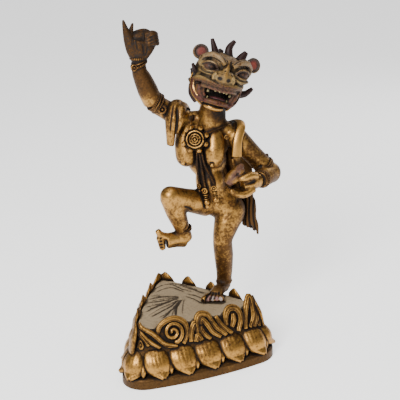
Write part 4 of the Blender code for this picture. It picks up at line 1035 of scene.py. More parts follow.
def raised_hand(shapes):
    """A fist turned palm up, wide at the top: the forefinger points up, the others curl over at the right."""
    wrist = ("wrist_r", 2.3)
    forefinger = [(-25.4, 4.4, 93.6, 1.9), (-26.4, 4, 96.6, 1.1), (-27, 4.2, 100, 0.3)]
    limb(shapes, [wrist, (-24.4, 4.4, 90, 2.3), *forefinger])
    limb(shapes, [wrist, (-22.5, 3.8, 90, 2.9), (-22.2, 3, 93.4, 2.5)])
    limb(shapes, [wrist, (-20.9, 3.2, 90, 2.4), (-19.2, 2.6, 93.4, 2)])
    limb(shapes, [wrist, (-20, 2.9, 89.8, 2.1), (-18, 2.2, 92.6, 1.7)])
    limb(shapes, [(-25, 4, 93.5, 1.2), (-24.6, 4.3, 96, 0.9), (-23.7, 4.4, 98.6, 0.3)])
    lump(shapes, (-21, 3.6, 93.4), (4.2, 1.7, 2.3), (0, 4, -8))
    folded = [(-22.2, 4.9, 95.2, 1), (-19.8, 4.4, 95.4, 1), (-18.4, 3.4, 94.6, 0.9)]
    limb(shapes, [(-24, 4.7, 94.4, 1.1), *folded])
    for k in range(4):
        level, ahead = 95.0 - 0.95 * k, 0.3 * k
        root, knuckle = (-20.4, 2.4 - ahead, level - 0.6), (-18.2, 1.4 - ahead, level)
        limb(shapes, [(root, 1.2), (knuckle, 1.0), ((-16.6, 2.2 - ahead, level - 0.7), 0.8)])


def cup_hand(shapes):
    """The left hand, palm up, holds a small skull cup between its thumb and its long lower fingers."""
    palm = [("wrist_l", 2.4), ("palm_l", 2.8), (5.4, -12.2, 42.2, 2.2)]
    limb(shapes, palm, flat=0.75, flat_axis=(0, 1, 0.3))
    thumb = [(8, -13, 45.6, 1.5), (5.6, -13.8, 45.5, 1.2), (2.8, -13.2, 45.2, 0.6)]
    limb(shapes, [(10.4, -11.6, 44.6, 1.7), *thumb])
    for k in range(4):
        y = -14.2 + 1.3 * k
        finger = [((5.4, y + 0.4, 39.8), 1.25), ((2.4, y + 0.6, 40.4), 1.1), ((0.5, y + 1.2, 41.9), 0.7)]
        limb(shapes, [((9.0, y + 1.2, 41.0), 1.4), *finger])
    cup = [(1.8, -11.4, 45.4, 2.2), (4, -11.1, 47.2, 2), (6.3, -11.1, 49.6, 0.6)]
    limb(shapes, [(0.4, -11.2, 43.6, 1.5), *cup])


def head_frame():
    """The head's own frame: X to its left, Y to its back, Z up, before its shares are scaled."""
    yaw = Matrix.Rotation(math.radians(HEAD_TURN_DEG), 4, "Z")
    lean = Matrix.Rotation(math.radians(HEAD_LEAN_DEG), 4, "Y")
    rise = Matrix.Rotation(math.radians(-HEAD_RAISE_DEG), 4, "X")
    return Matrix.Translation(spot("head")) @ yaw @ lean @ rise


def head_ball(shapes, place, radii, turn=(0, 0, 0), cut=20):
    """An ellipsoid in the head's own frame, in shares."""
    rotation = Euler([math.radians(t) for t in turn]).to_matrix().to_4x4()
    here = head_frame() @ Matrix.Translation([share(p) for p in place]) @ rotation
    scaled = here @ Matrix.Diagonal((*[share(r) for r in radii], 1))
    bmesh.ops.create_uvsphere(shapes.bm, u_segments=cut, v_segments=cut // 2 + 1, radius=1, matrix=scaled)


def head_tube(shapes, stations, **options):
    """A tube in the head's own frame, in shares."""
    here = head_frame()
    pairs = [place_and_radius(station) for station in stations]
    shapes.tube([(here @ Vector([share(p) for p in place]), share(r)) for place, r in pairs], **options)


def mouth_across(across, side):
    """The mouth is pulled towards the figure's right, and is wider on that side."""
    return across * side * (1.0 if side < 0 else 0.82) - 0.4


def ear_across(side):
    """How far from the head's middle the ear of a side stands, to the left."""
    return -8.3 if side < 0 else 10.0


def hair_locks(shapes):
    """The tufts of hair that stand like flames round the face, and plainer ones behind."""
    locks = [
        ((-3.2, 0.2, 7.2), (-4.6, 0, 9.6), (-6, 0, 12.1), 1.4),
        ((0.9, -0.4, 7.8), (0.5, -0.2, 10.6), (1.8, 0, 13.3), 1.6),
        ((5.1, -0.2, 7.2), (5.7, 0, 8.8), (6.6, 0, 10.7), 1.9),
        ((-7.2, -0.4, -0.4), (-8.9, -0.6, 0.5), (-10.4, -0.8, 2.6), 1.2),
        ((-7.5, -1, -5.4), (-8.8, -1, -3.8), (-10.4, -1, -2.4), 1.2),
        ((7.2, -1, -3.6), (9.6, -1, -2.8), (11.6, -1, -0.4), 1.5),
        ((0, 6.4, 5), (-0.6, 8.6, 7.4), (0.4, 9.4, 9.6), 2.0),
        ((-4.6, 6.2, 3.6), (-6.6, 8.4, 6), (-7, 9.2, 9), 1.8),
        ((4.6, 6.2, 3.6), (6.6, 8.4, 6), (7.2, 9.2, 8.6), 1.8),
        ((-4, 7, -2.6), (-6.4, 8.8, -1.6), (-8.2, 9.4, 1), 1.7),
        ((4, 7, -2.6), (6.4, 8.8, -1.6), (8.2, 9.4, 1), 1.7),
    ]
    for root, middle, tip, radius in locks:
        head_tube(shapes, [(root, radius), (middle, radius * 0.75), (tip, radius * 0.4)])
    for side in (-1, 1):
        whisker = [((mouth_across(8.4, side), -0.6, -4.0), 1.1), ((mouth_across(7.8, side), -1.0, -7.0), 1.1)]
        whisker.append(((mouth_across(5.8, side), -2.0, -9.4), 0.8))
        head_tube(shapes, whisker)
    head_ball(shapes, (0, 5, -0.6), (7.4, 4.6, 7.8), cut=16)


def arc_round(place, ahead, radius, start_deg, end_deg, count=9):
    """Points, in shares, on an arc round a limb. 0 degrees is the front of the figure, 90 its left."""
    ahead = Vector(ahead).normalized()
    front = Vector((0, -1, 0))
    front = (front - ahead * front.dot(ahead)).normalized()
    left = front.cross(ahead) if front.cross(ahead).x > 0 else ahead.cross(front)
    centre = Vector(POSE[place] if isinstance(place, str) else place)
    points = []
    for k in range(count):
        angle = math.radians(start_deg + (end_deg - start_deg) * k / (count - 1))
        points.append(centre + (front * math.cos(angle) + left * math.sin(angle)) * radius)
    return points


def spots(stops):
    """The points of the row frame at some places of the figure."""
    return [spot(stop) for stop in stops]


def figure_shares(carving):
    """The skin's vertices in shares of the figure's height, from the sole of the standing foot."""
    return (carving.rest - np.array(spot((0, 0, 0)))) / share(1.0)


def head_shares(carving):
    """The skin's vertices in shares, in the head's own frame."""
    inverse = np.array(head_frame().inverted().to_3x3())
    return (carving.rest - np.array(head_frame().translation)) @ inverse.T / share(1.0)


def ease(body):
    """Softens the whole skin where limbs and muscles meet, but keeps the toes and the nipples."""
    small = [(-5, -8, 1.5, 6.5), (-21.5, -1.5, 25, 4.5), (2.9, -6, 58.5, 1.4)]
    small += [(*chest_point(-6.6, 49.8, 7.4), 1.6), (*chest_point(3.9, 49.6, 7.2), 1.6)]
    broad = body.vertex_groups.new(name="broad")
    points = vertex_vectors(body.data, "co")
    keep = np.ones(len(points), bool)
    for *place, reach in small:
        keep &= np.linalg.norm(points - np.array(spot(place)), axis=1) > share(reach)
    broad.add(np.nonzero(keep)[0].tolist(), 1.0, "REPLACE")
    soften = body.modifiers.new("soften", "SMOOTH")
    soften.vertex_group = "broad"
    soften.factor = 0.5
    soften.iterations = 22
    apply_modifiers(body)


def figure_body():
    """Torso, limbs and feet as one skin, then its creases, toes, browner places, and painted shade away from
    the light, underneath and under the jaw.
    """
    shapes = Shapes()
    torso(shapes)
    legs(shapes)
    standing_foot(shapes)
    raised_toes(shapes)
    arms(shapes)
    body = shapes.finish("figure_body")
    fuse(body, BODY_VOXEL, 4)
    ease(body)
    cut_flat(body, BASE_HEIGHT + SEAT_GAP)
    carving = Carving(body)
    line = share(0.32)
    creases = [
        (arc_round((0.5, -3.2, 19.2), (0, 0, 1), 3.5, -75, 60), 0.5, 0.05),
        ([(6.8, -4.6, 35.4), (3.6, -6, 31.6), (0.6, -5.6, 28.6)], 0.7, 0.7),
        ([(-7, -3.6, 40.8), (-4.6, -4.8, 36.4), (-2, -5, 31)], 1.0, 0.9),
        ([(-9.8, -4.4, 32.6), (-11.6, -5, 35.2), (-13.8, -5.6, 36.6)], 0.7, 0.8),
        ([(11, -7.2, 46.6), (13.4, -7.4, 46.2), (15.8, -6.6, 47)], 0.8, 0.8),
        ([(-13.6, 2.6, 68.2), (-15.2, 3, 71.4), (-15.6, 4.4, 74)], 0.6, 0.5),
    ]
    for stops, deep, dark in creases:
        carving.groove(spots(stops), line * 1.6, share(0.28) * deep, ink=dark)
    for across, level in NIPPLES:
        centre = chest_point(across, level, 7.3)
        ring = arc_round(centre, turned(0, 1, TORSO_TURN_DEG), 1.1, 0, 360, 13)
        carving.scratch(ring, 0.3, 0.12, ink=0.8, taper=False)
    toe_lines(carving)
    p = figure_shares(carving)
    # Painted shade: away is the side turned from the key light, below faces down, and the upper left arm and
    # the left hip lie on the side away from the light. The lower standing leg, belly and forearm are only
    # made browner.
    standing = unit((31 - p[:, 2]) / 8) * unit((p[:, 0] + 5) / 4)
    belly = unit(1 - np.abs(p[:, 2] - 35) / 9) * unit((p[:, 0] + 6) / 6)
    away = unit(carving.normals @ np.array((0.9, 0.42, -0.1)))
    shaded_left_arm = unit((p[:, 0] - 8.5) / 2) * unit((p[:, 2] - 46.5) / 4)
    below = unit(-carving.normals[:, 2])
    forearm = unit((p[:, 2] - 72) / 5) * unit((-12 - p[:, 0]) / 3)
    hip = unit(1 - np.abs(p[:, 2] - 35) / 12) * unit((p[:, 0] - 5) / 4)
    carving.worn += 0.30 * standing + 0.22 * belly + 0.30 * away + 0.25 * below - 0.05
    carving.worn += 0.42 * forearm + 0.35 * hip + 0.32 * shaded_left_arm + 0.15 * away
    # Darker on the forearm, and painted shade on the side turned from the key light.
    carving.darken(np.maximum(0.22 * forearm, 0.26 * away))
    # Painted shadow under the head, on the front of the neck: browner and darker.
    neck = np.linalg.norm((p - np.array((3, -1.4, 67.4))) / np.array((5, 5.5, 5)), axis=1)
    neck = unit(1.7 - 1.3 * neck)
    carving.worn += 0.5 * neck
    carving.darken(0.62 * neck)
    carving.done()
    return body


def toe_lines(carving):
    """Gaps between the toes and the pale worn nails of the standing foot."""
    for k in range(4):
        spread_out = k - 1.3
        root = Vector((-4.8, -6, 2.6)) + turned(1.0 * spread_out, -0.6, FOOT_TURN_DEG)
        tip = Vector((-4.8, -6, 0.8)) + turned(1.55 * spread_out, 4.0, FOOT_TURN_DEG)
        middle = (root + tip) / 2 + Vector((0, 0, 0.7))
        carving.scratch([root, middle, tip], 0.42, 0.5, ink=1.0)
    for k in range(5):
        spread_out = k - 1.8
        root = Vector((-4.8, -6, 1.9)) + turned(1.3 * spread_out, 2.0, FOOT_TURN_DEG)
        tip = root + turned(0.35 * spread_out, 1.8 - 0.3 * k, FOOT_TURN_DEG) - Vector((0, 0, 0.9))
        colour, strength = ("#120c0a", 0.9) if k == 0 else (("#a89890", "#96706a")[k % 2], 0.75)
        carving.paint([root, tip], 0.75, colour, strength, facing=(0, -0.6, 0.8))
    foot = [(1.4, -1.4, 3.6), (-1.8, -4, 4.4), (-4.4, -6.4, 3.4)]
    carving.paint(foot, 2.6, "#2c1f16", 0.4, facing=(0, -0.3, 0.9))
    for k in range(4):
        level = 25.2 - 1.15 * k
        stops = [(-19.6, -2.8, level - 0.3), (-21.2, -2.6, level), (-22.6, -1.6, level)]
        carving.scratch(stops, 0.34, 0.4, ink=1.0)
    sole = [(-12.4, -3, 21), (-15.4, -3.2, 21.6), (-18.4, -3.1, 21.4)]
    carving.scratch(sole, 0.9, 0.35, ink=0.8)
    arch = [(-12.6, -3.2, 24), (-15, -3.3, 23.2), (-18, -3.1, 23.2)]
    carving.scratch(arch, 0.3, 0.14, ink=0.4)


def hands():
    """Both hands at a finer grain, with the gaps between their fingers."""
    shapes = Shapes()
    raised_hand(shapes)
    raised = shapes.finish("raised_hand")
    fuse(raised, HAND_VOXEL, 3)
    carving = Carving(raised)
    for stops, deep in (
        ([(-25.6, 2.4, 97), (-24.4, 1.6, 93.6), (-23.6, 1.4, 89.6)], 0.5),
        ([(-24.4, 2.2, 95.6), (-22.6, 1.4, 94.2), (-20.2, 0.9, 94.6)], 0.6),
        ([(-22.6, 1, 93), (-21.8, 0.8, 90.4), (-21.8, 1.4, 87.8)], 0.4),
        ([(-20.6, 0.6, 92), (-20.6, 0.8, 90), (-21.4, 1.4, 87.6)], 0.4),
    ):
        carving.groove(spots(stops), share(0.36), share(0.5) * deep, ink=0.9)
    for k in range(4):
        level = 94.4 - 0.95 * k
        y = -0.3 * k
        stops = [(-19.8, 0.6 + y, level - 0.6), (-18.0, y, level - 0.1), (-16.2, 1.2 + y, level)]
        carving.scratch(stops, 0.24, 0.3, ink=1.0)
    carving.worn += 0.55
    carving.darken(0.34)
    carving.wash(np.full(len(carving.rest), 0.22), "#2a1d14")
    carving.done()
    shapes = Shapes()
    cup_hand(shapes)
    for place, size in (((2.4, -12.2, 45.4), (2.3, 1.9, 1.7)), ((4.6, -12, 47.2), (2, 1.7, 1.5))):
        lump(shapes, place, size, (0, -40, 0))
    low = shapes.finish("cup_hand")
    fuse(low, HAND_VOXEL, 3)
    carving = Carving(low)
    under_thumb = [(9.8, -14, 43.9), (6.6, -14.6, 43.4), (3.4, -13.9, 43.4)]
    carving.scratch(under_thumb, 0.7, 0.6, ink=1.0)
    cup = [(0.4, -11.6, 43.6), (2, -12.4, 45.8), (4.2, -12, 47.4), (6.2, -11.6, 49.4)]
    carving.paint(cup, 2.3, "#54362a", 0.55)
    cup_rim = [(1.2, -13.4, 45.8), (3.2, -13.2, 47), (5.2, -12.4, 48.4)]
    carving.scratch(cup_rim, 0.35, 0.3, ink=0.5)
    carving.bare(spots([(11, -13.2, 45.4), (8, -14.6, 46.4), (5, -14.8, 46.2)]), share(1.1))
    carving.worn += 0.04
    carving.done()
    return [raised, low]


def face_spots(stops):
    """The points of the row frame at some places in the head's own frame."""
    here = head_frame()
    return [here @ Vector([share(c) for c in stop]) for stop in stops]


# Lines on both sides of the face as (across, back, up, radius): lids, brow and the pouch below the eye.
EYE_LINES = (
    ((2.9, -8, 2.5, 0.4), (4.6, -8.1, 4.3, 0.5), (6.6, -7, 4.5, 0.5), (8.2, -5, 3.2, 0.4)),
    ((2.9, -8, 2.5, 0.4), (5, -7.9, 1.6, 0.45), (7, -6.4, 1.8, 0.45), (8.2, -5, 3.2, 0.4)),
    ((1.3, -8.6, 4.8, 0.9), (3.4, -8.4, 6.4, 1.1), (6, -7.1, 7, 1.1), (8.6, -4.2, 5.4, 0.7)),
    ((3, -8.7, 0.9, 0.6), (5.6, -7.8, 0.3, 0.7), (8.2, -5.2, 1.2, 0.6)),
)
# Upper lip, upper gum, jowl, gum beside the jaws, fold of the cheek, rim of the mane and lower lip.
MOUTH_LINES = (
    (
        (0, -10.6, -2.2, 0.95), (2.6, -10, -1.9, 1.05), (5.2, -8.4, -1.6, 1.15), (7.6, -6, -1.5, 1.1),
        (8.9, -3.4, -2.4, 0.9),
    ),
    ((0, -9.9, -3.6, 0.75), (2.6, -9.3, -3.4, 0.8), (4.6, -8, -3.2, 0.85), (6.4, -6.4, -3.3, 0.9)),
    ((8.7, -3.4, -2.6, 0.95), (8.2, -3.9, -5, 1.05), (6.8, -5, -7.2, 0.95), (4.4, -6.6, -8.3, 0.8)),
    ((6.6, -5.1, -3.2, 1.4), (6.3, -5, -5.2, 1.7), (5.1, -5.4, -7, 1.4), (3.6, -6.4, -7.8, 0.8)),
    ((5.4, -6.9, -3.4, 0.5), (5.3, -6.8, -5.2, 0.5), (4.6, -7, -6.8, 0.4)),
    ((9.3, -1.6, -0.4, 0.35), (9.5, -2.4, -3.4, 0.38), (8, -3.6, -7, 0.38), (4.9, -5.9, -9.7, 0.4)),
    ((4.3, -6.8, -7.9, 0.8), (2.2, -8, -7.9, 0.9), (0, -8.6, -7.9, 0.95)),
)


def cupped_ear(shapes, side):
    """A rounded ear on its root in the skull, with a raised rim round its hollow."""
    centre = Vector((ear_across(side), 1.1, 7.0))
    head_tube(shapes, [((6.4 * side, 1.1, 4.8), 1.6), (centre, 1.2)], sides=14)
    turn = Euler((0, math.radians(30 * side), math.radians(14 * side))).to_matrix()
    head_ball(shapes, centre, (2.5, 1.2, 2.3), (0, 30 * side, 14 * side), cut=24)
    shell = []
    for k in range(15):
        angle = math.radians(360 * k / 14)
        round_it = Vector((2.25 * math.cos(angle), -0.75, 2.1 * math.sin(angle)))
        shell.append((centre + turn @ round_it, 0.5))
    head_tube(shapes, shell, sides=12, steps=2)


def head_piece():
    """The lion's face: skull, brows, lidded eyes, snarling snout, open jaws, cupped ears."""
    shapes = Shapes()
    for place, radii, cut in (
        ((0, 1, 1.8), (8.9, 8.2, 6.8), 32),
        ((-0.2, -2.8, -0.9), (8.2, 6, 3.6), 28),
        ((-0.5, -6.6, 0.6), (4.7, 4.6, 2.6), 24),
        ((NOSE_ASIDE, -10.0, 0.1), (3.3, 2, 1.8), 20),
        ((-0.4, 0.6, -4.4), (7.2, 5, 5.6), 24),
    ):
        head_ball(shapes, place, radii, cut=cut)
    head_tube(shapes, [(-0.1, -6.2, 5.8, 1.5), (-0.5, -8.2, 3.3, 1.2), ((NOSE_ASIDE, -10.4, 1.2), 1.1)])
    head_ball(shapes, (-1, -4.4, -9.1), (4, 4.2, 1.6), (14, 0, 0))
    head_ball(shapes, (-0.9, -5.6, -7.5), (3.7, 3, 0.9))
    for side in (-1, 1):
        head_ball(shapes, (5.5 * side, -5.9, 3.1), (2.2, 1.9, 1.5), (0, 0, 24 * side))
        head_ball(shapes, (7.4 * side, -3.2, 4.4), (1.9, 2.6, 2.3))
        for line in EYE_LINES:
            head_tube(shapes, [(x * side, y, z, r) for x, y, z, r in line], sides=14, steps=6)
        wing = [(2.6, -10.4, 1.4, 0.7), (3.4, -9.9, 0.3, 0.7), (3.1, -10.2, -0.8, 0.6)]
        head_tube(shapes, [(NOSE_ASIDE + x * side, y, z, r) for x, y, z, r in wing], sides=14, steps=6)
        for line in MOUTH_LINES:
            head_tube(shapes, [(mouth_across(x, side), y, z, r) for x, y, z, r in line], sides=14, steps=6)
        head_ball(shapes, (mouth_across(6.8, side), -1.4, -3.8), (2.1, 3.8, 4.6))
        cupped_ear(shapes, side)
    head = shapes.finish("lion_head")
    fuse(head, HEAD_VOXEL, 2)
    carve_face(head)
    return head


# Wrinkles on both sides of the face as (width, depth, dirt, stops).
FACE_LINES = (
    (0.45, 0.35, 0.8, (1, -9.4, 5.2), (3.2, -9, 7.6), (6.2, -7.4, 8.2), (8.8, -4.4, 6.6)),
    (0.38, 0.25, 0.9, (2.6, -9.2, 5.2), (4.8, -8.4, 5.7), (7.2, -6.8, 5.5), (8.6, -5, 4.4)),
    (0.35, 0.2, 0.7, (2.5, -9, 1.9), (4.8, -8.4, 0.9), (7.4, -6.6, 1), (8.8, -4.4, 2.2)),
    (0.4, 0.3, 0.7, (0.9, -10.2, 3.4), (1.8, -9.8, 1.6), (3.9, -9.4, 0.6)),
    (0.38, 0.25, 0.7, (3.2, -10.4, -1.2), (5.6, -9, -0.5), (8, -6.2, -0.3)),
    (0.3, 0.2, 0.5, (3.8, -9.8, 0.3), (6.2, -8.2, 0.1), (8.6, -5, 0.4)),
    (0.35, 0.4, 1.0, (7, -4.8, -3.4), (6.8, -5, -5), (5.4, -6, -7)),
    (0.3, 0.2, 0.5, (0.5, -8.6, 6.6), (0.9, -9.6, 4.6), (0.9, -10.2, 3.4)),
    (0.3, 0.25, 0.7, (2.2, -11.2, -1.7), (4.8, -9.9, -1), (7.4, -7.4, -0.9)),
    (0.3, 0.25, 0.7, (0.3, -7.4, 7.6), (2.6, -7.6, 8.4), (5.2, -6.4, 8.6)),
    (0.25, 0.2, 0.7, (0.2, -11, 2.6), (1.3, -11.2, 1.9), (2.4, -10.8, 1.6)),
    (0.3, 0.25, 0.9, (0.9, -9.2, 4.6), (2.2, -8.6, 3.4), (2.6, -8.6, 2.2)),
    (0.28, 0.25, 0.9, (7.6, -5.8, -2), (8.2, -5, -4.2), (7.2, -5.9, -6.6)),
    (0.28, 0.25, 0.9, (5.6, -7.4, -3), (5.6, -7.4, -4.8), (4.8, -7.6, -6.4)),
)
# Paint on lips, gums and jowls as (width, colour, strength, stops).
MOUTH_RED, LIP_BROWN = "#4a140a", "#34120a"
MOUTH_PAINT = (
    (
        0.8, LIP_BROWN, 0.5,
        (0, -11.2, -2.6), (2.6, -10.7, -2.2), (5.2, -9.2, -1.8), (7.6, -6.8, -1.7), (9, -4, -2.8),
    ),
    (0.8, "#5e3828", 0.6, (0, -10.4, -3.8), (2.6, -9.8, -3.6), (4.6, -8.6, -3.4)),
    (1.2, MOUTH_RED, 0.62, (9, -4, -3), (8.6, -4.6, -5), (7, -5.8, -7.2), (4.8, -7.4, -8.6)),
    (1.5, MOUTH_RED, 0.5, (6.8, -6.2, -2.8), (6.4, -6.2, -4.8), (5.2, -6.9, -6.8)),
    (1.0, MOUTH_RED, 0.45, (4.4, -7.4, -8), (2.2, -8.8, -8), (0, -9.3, -8)),
)
# The dark of the eye and the brown spot in it, as (width, colour).
EYE_RINGS = ((1.2, "#1c0f0a"), (0.6, "#4a2f1c"))


def carve_half_face(carving, side, forwards):
    """Wrinkles, lips, eye, ear and nostril of one side."""
    def mirrored(stops):
        return face_spots([(x * side, y, z) for x, y, z in stops])

    def mouth(stops):
        return face_spots([(mouth_across(x, side), y, z) for x, y, z in stops])

    for width, deep, ink, *stops in FACE_LINES:
        carving.groove(mirrored(stops), share(width), share(deep), ink, facing=forwards)
    for width, colour, strength, *stops in MOUTH_PAINT:
        carving.brush(mouth(stops), share(width), colour, strength)
    carving.bare(mouth([(8.9, -4.4, -1.4), (8.6, -4.9, -4.8), (7, -6.1, -7)]), share(0.3), 0.8)
    carving.brush(mirrored([(4.4, -8, 3), (6.8, -7, 3.1)]), share(1.5), "#45291e", 0.9, facing=forwards)
    for width, colour in EYE_RINGS:
        carving.brush(mirrored([(5.4, -7.9, 3.1)]), share(width), colour, 1.0, facing=forwards)
    lid_line = [(2.9, -8.6, 2.7), (4.6, -8.5, 3.9), (6.6, -7.5, 4.1), (8.2, -5.6, 3.2)]
    carving.brush(mirrored(lid_line), share(0.36), "#2c1b15", 0.9)
    ear = face_spots([(ear_across(side), 0.0, 7.1)])
    carving.brush(ear, share(3.3), "#352a24", 0.9)
    carving.groove(ear, share(1.7), share(1.1), ink=0.0, facing=forwards)
    carving.brush(ear, share(1.9), "#7c3226", 0.7, facing=forwards)
    # The nostril is cut deep and painted near black: painted shade in its hole.
    nostril = face_spots([(NOSE_ASIDE + 1.75 * side, -12.0, 0.0)])
    carving.groove(nostril, share(1.5), share(2.2), ink=1.0, facing=forwards)
    carving.brush(nostril, share(1.25), "#080403", 1.0, facing=forwards)
    rim = [(9.3, -1.6, -0.4), (9.6, -2.6, -3.4), (8.1, -3.9, -7), (4.9, -6.2, -9.7)]
    carving.bare(mouth(rim), share(0.45), 0.6)


def carve_face(head):
    """Wrinkles, nostrils, ear cups, what is left of the cold paint, and painted shade in the nostrils and the
    open mouth.
    """
    carving = Carving(head)
    forwards = (head_frame().to_3x3() @ Vector((0, -1, 0.1))).normalized()
    here = head_shares(carving)
    front = unit((1.5 - here[:, 1]) / 3.5)
    skin = front * unit((here[:, 2] + 9.2) / 1.2)
    carving.wash(skin * 0.46, "#8c7548")
    carving.darken(0.10 * front)
    brows = skin * unit((here[:, 2] - 3.6) / 2.5)
    carving.wash(brows * 0.42, "#6a5a50")
    crown = unit((here[:, 1] + 0.5) / 2.5)
    carving.wash(crown * 0.7, "#2e1d14")
    muzzle = unit((-1.2 - here[:, 2]) / 0.8) * unit((here[:, 2] + 9.4) / 0.8) * front
    streaks = 0.5 + 0.5 * np.sin(here[:, 0] * 4.1 + 2.0 * np.sin(here[:, 2] * 1.7)) * np.sin(here[:, 2] * 3.3)
    carving.wash(muzzle * (0.28 + 0.46 * streaks), "#42140a")
    carving.darken(0.30 * muzzle * (1 - streaks))
    nose = [(-0.3, -8.8, 4.6), (-0.7, -10, 2.4), (NOSE_ASIDE, -11.8, 0.8)]
    carving.brush(face_spots(nose), share(2.6), "#7a5c2e", 0.6)
    ridge = [(-0.2, -8.6, 5), (-0.6, -9.6, 2.8), (NOSE_ASIDE, -11.4, 1.4)]
    carving.bare(face_spots(ridge), share(0.8), 0.45)
    for side in (-1, 1):
        carve_half_face(carving, side, forwards)
    # The inside of the open mouth is painted near black: painted shade.
    inside = (np.abs(here[:, 0] + 0.4) < 4.6) & (here[:, 2] < -3.9) & (here[:, 2] > -7.4)
    inside &= (here[:, 1] > -6.6) & (here[:, 1] < -1.0)
    carving.wash(inside * 1.0, "#0e0705")
    chin = [(-4.8, -6.8, -9.7), (-1, -8.6, -9.8), (2.4, -7.2, -9.8)]
    carving.bare(face_spots(chin), share(1.4), 0.8)
    carving.worn += 0.25 * unit((-9.0 - here[:, 2]) / 1.0)
    carving.done()


def mouth_parts():
    """The tongue, and the teeth along both jaws."""
    shapes = Shapes()
    head_ball(shapes, (-0.5, -5.9, -6.9), (3, 2.8, 0.9), (-8, 0, 0), cut=24)
    tongue = shapes.finish("tongue")
    carving = Carving(tongue)
    middle = face_spots([(-0.5, -3.6, -6.2), (-0.5, -6, -6), (-0.5, -8.6, -6.6)])
    carving.groove(middle, share(0.35), share(0.3), ink=0.7)
    carving.wash(np.ones(len(carving.rest)) * 0.9, "#4a2426")
    carving.done()
    shapes = Shapes()
    for side in (-1, 1):
        for across, long in ((0.75, -0.15), (2.1, -0.1), (4.1, 0.7)):
            y = -10.1 + 0.14 * across * across
            x = mouth_across(across, side)
            head_tube(shapes, [((x, y, -3.9), 0.5), ((x, y + 0.15, -4.4 - long), 0.4)], sides=10)
        x = mouth_across(3.7, side)
        head_tube(shapes, [((x, -7.0, -7.6), 0.5), ((x, -7.2, -6.4), 0.2)], sides=10)
    teeth = shapes.finish("teeth")
    carving = Carving(teeth)
    carving.wash(np.ones(len(carving.rest)) * 0.95, "#857650")
    carving.done()
    return [tongue, teeth]


def hair():
    """The tufts that stand like flames round the face, painted dark red-brown, and the plainer back."""
    shapes = Shapes()
    hair_locks(shapes)
    locks = shapes.finish("hair_locks")
    fuse(locks, HAND_VOXEL, 2)
    carving = Carving(locks)
    here = head_shares(carving)
    angle = np.arctan2(here[:, 0], here[:, 2] + 1)
    wave = np.cos(angle * 34 + 0.9 * np.sin(here[:, 1] * 1.3))
    back = unit((here[:, 1] - 2.0) / 2.0)
    carving.points -= carving.normals * (unit(wave) * back * share(0.22))[:, None]
    carving.ink = unit(wave) * back * 0.8
    carving.wash(np.full(len(here), 0.74), "#24100c")
    carving.done()
    return locks


def bead(shapes, point, size, cut=10):
    """A small ball at a point, its radius in shares."""
    shapes.ball(point, [share(size)] * 3, cut=cut)


def bead_row(shapes, place, ahead, radius, size, count):
    """Small beads side by side round a limb."""
    for point in points_round(place, ahead, radius, count)[:-1]:
        bead(shapes, point, size)


def stud(shapes, place, out, size):
    """A small round boss: a ring with a bead in it."""
    bead_ring(shapes, place, out, size, size * 0.38)
    bead(shapes, spot(place), size * 0.5, cut=12)


def arm_and_leg_rings():
    """Bracelets, armlets and anklets: beads between two bands, with their bosses."""
    shapes = Shapes()
    forearm = Vector(POSE["wrist_low"]) - Vector(POSE["elbow_r"])
    upper = Vector(POSE["elbow_l"]) - Vector(POSE["shoulder_l"])
    lower = Vector(POSE["wrist_l"]) - Vector(POSE["elbow_l"])
    armlet = (-0.8, 0, 0.55)
    for place, ahead, radius, size, count in (
        ((-22.7, 4.4, 85), forearm, 2.65, 0.42, 28), ((-22.8, 4.4, 87), (0, 0, 1), 2.5, 0.5, 24),
        ((-16.6, 6.2, 70.2), armlet, 3.35, 0.42, 34), ((-18, 6.2, 71.5), armlet, 3.35, 0.42, 34),
        (between("shoulder_l", "elbow_l", 0.8), upper, 3.5, 0.42, 36),
        (between("wrist_l", "elbow_l", 0.12), lower, 2.75, 0.45, 26),
        ((-13.1, -1, 27.2), (0.1, 0.1, -1), 2.75, 0.36, 34), ((1.5, 0.1, 3.6), (0, 0, 1), 2.5, 0.5, 22),
    ):
        bead_row(shapes, place, ahead, radius, size, count)
    for place, ahead, radius, thick in (
        ((-22.7, 4.4, 85.9), forearm, 2.45, 0.34), ((-17.3, 6.2, 70.9), armlet, 3.25, 0.4),
        (between("shoulder_l", "elbow_l", 0.84), upper, 3.5, 0.4),
        (between("wrist_l", "elbow_l", 0.20), lower, 2.95, 0.4),
        (between("wrist_l", "elbow_l", 0.05), lower, 2.5, 0.4),
        ((-13, -1, 26.5), (0.1, 0.1, -1), 2.7, 0.36),
    ):
        bead_ring(shapes, place, ahead, radius, thick)
    camera_side = (-0.3, -0.9, 0.2)
    for place, out, size in (
        ((-16.2, 2.9, 68.8), camera_side, 1.15), ((17.9, -8.3, 43.2), camera_side, 0.8),
        ((-13.7, -3.9, 28.6), camera_side, 1.0), ((-24.9, 2.7, 84.2), camera_side, 0.9),
        ((2.7, -6.6, 58.5), camera_side, 0.6),
    ):
        stud(shapes, place, out, size)
    finial = [(17.8, -4.2, 47.4, 0.9), (18.3, -4.2, 48.6, 0.8), (18.4, -4.2, 49.6, 0.45)]
    limb(shapes, finial, sides=10)
    rings = shapes.finish("arm_and_leg_rings")
    carving = Carving(rings)
    carving.worn += 0.28
    carving.done()
    return rings


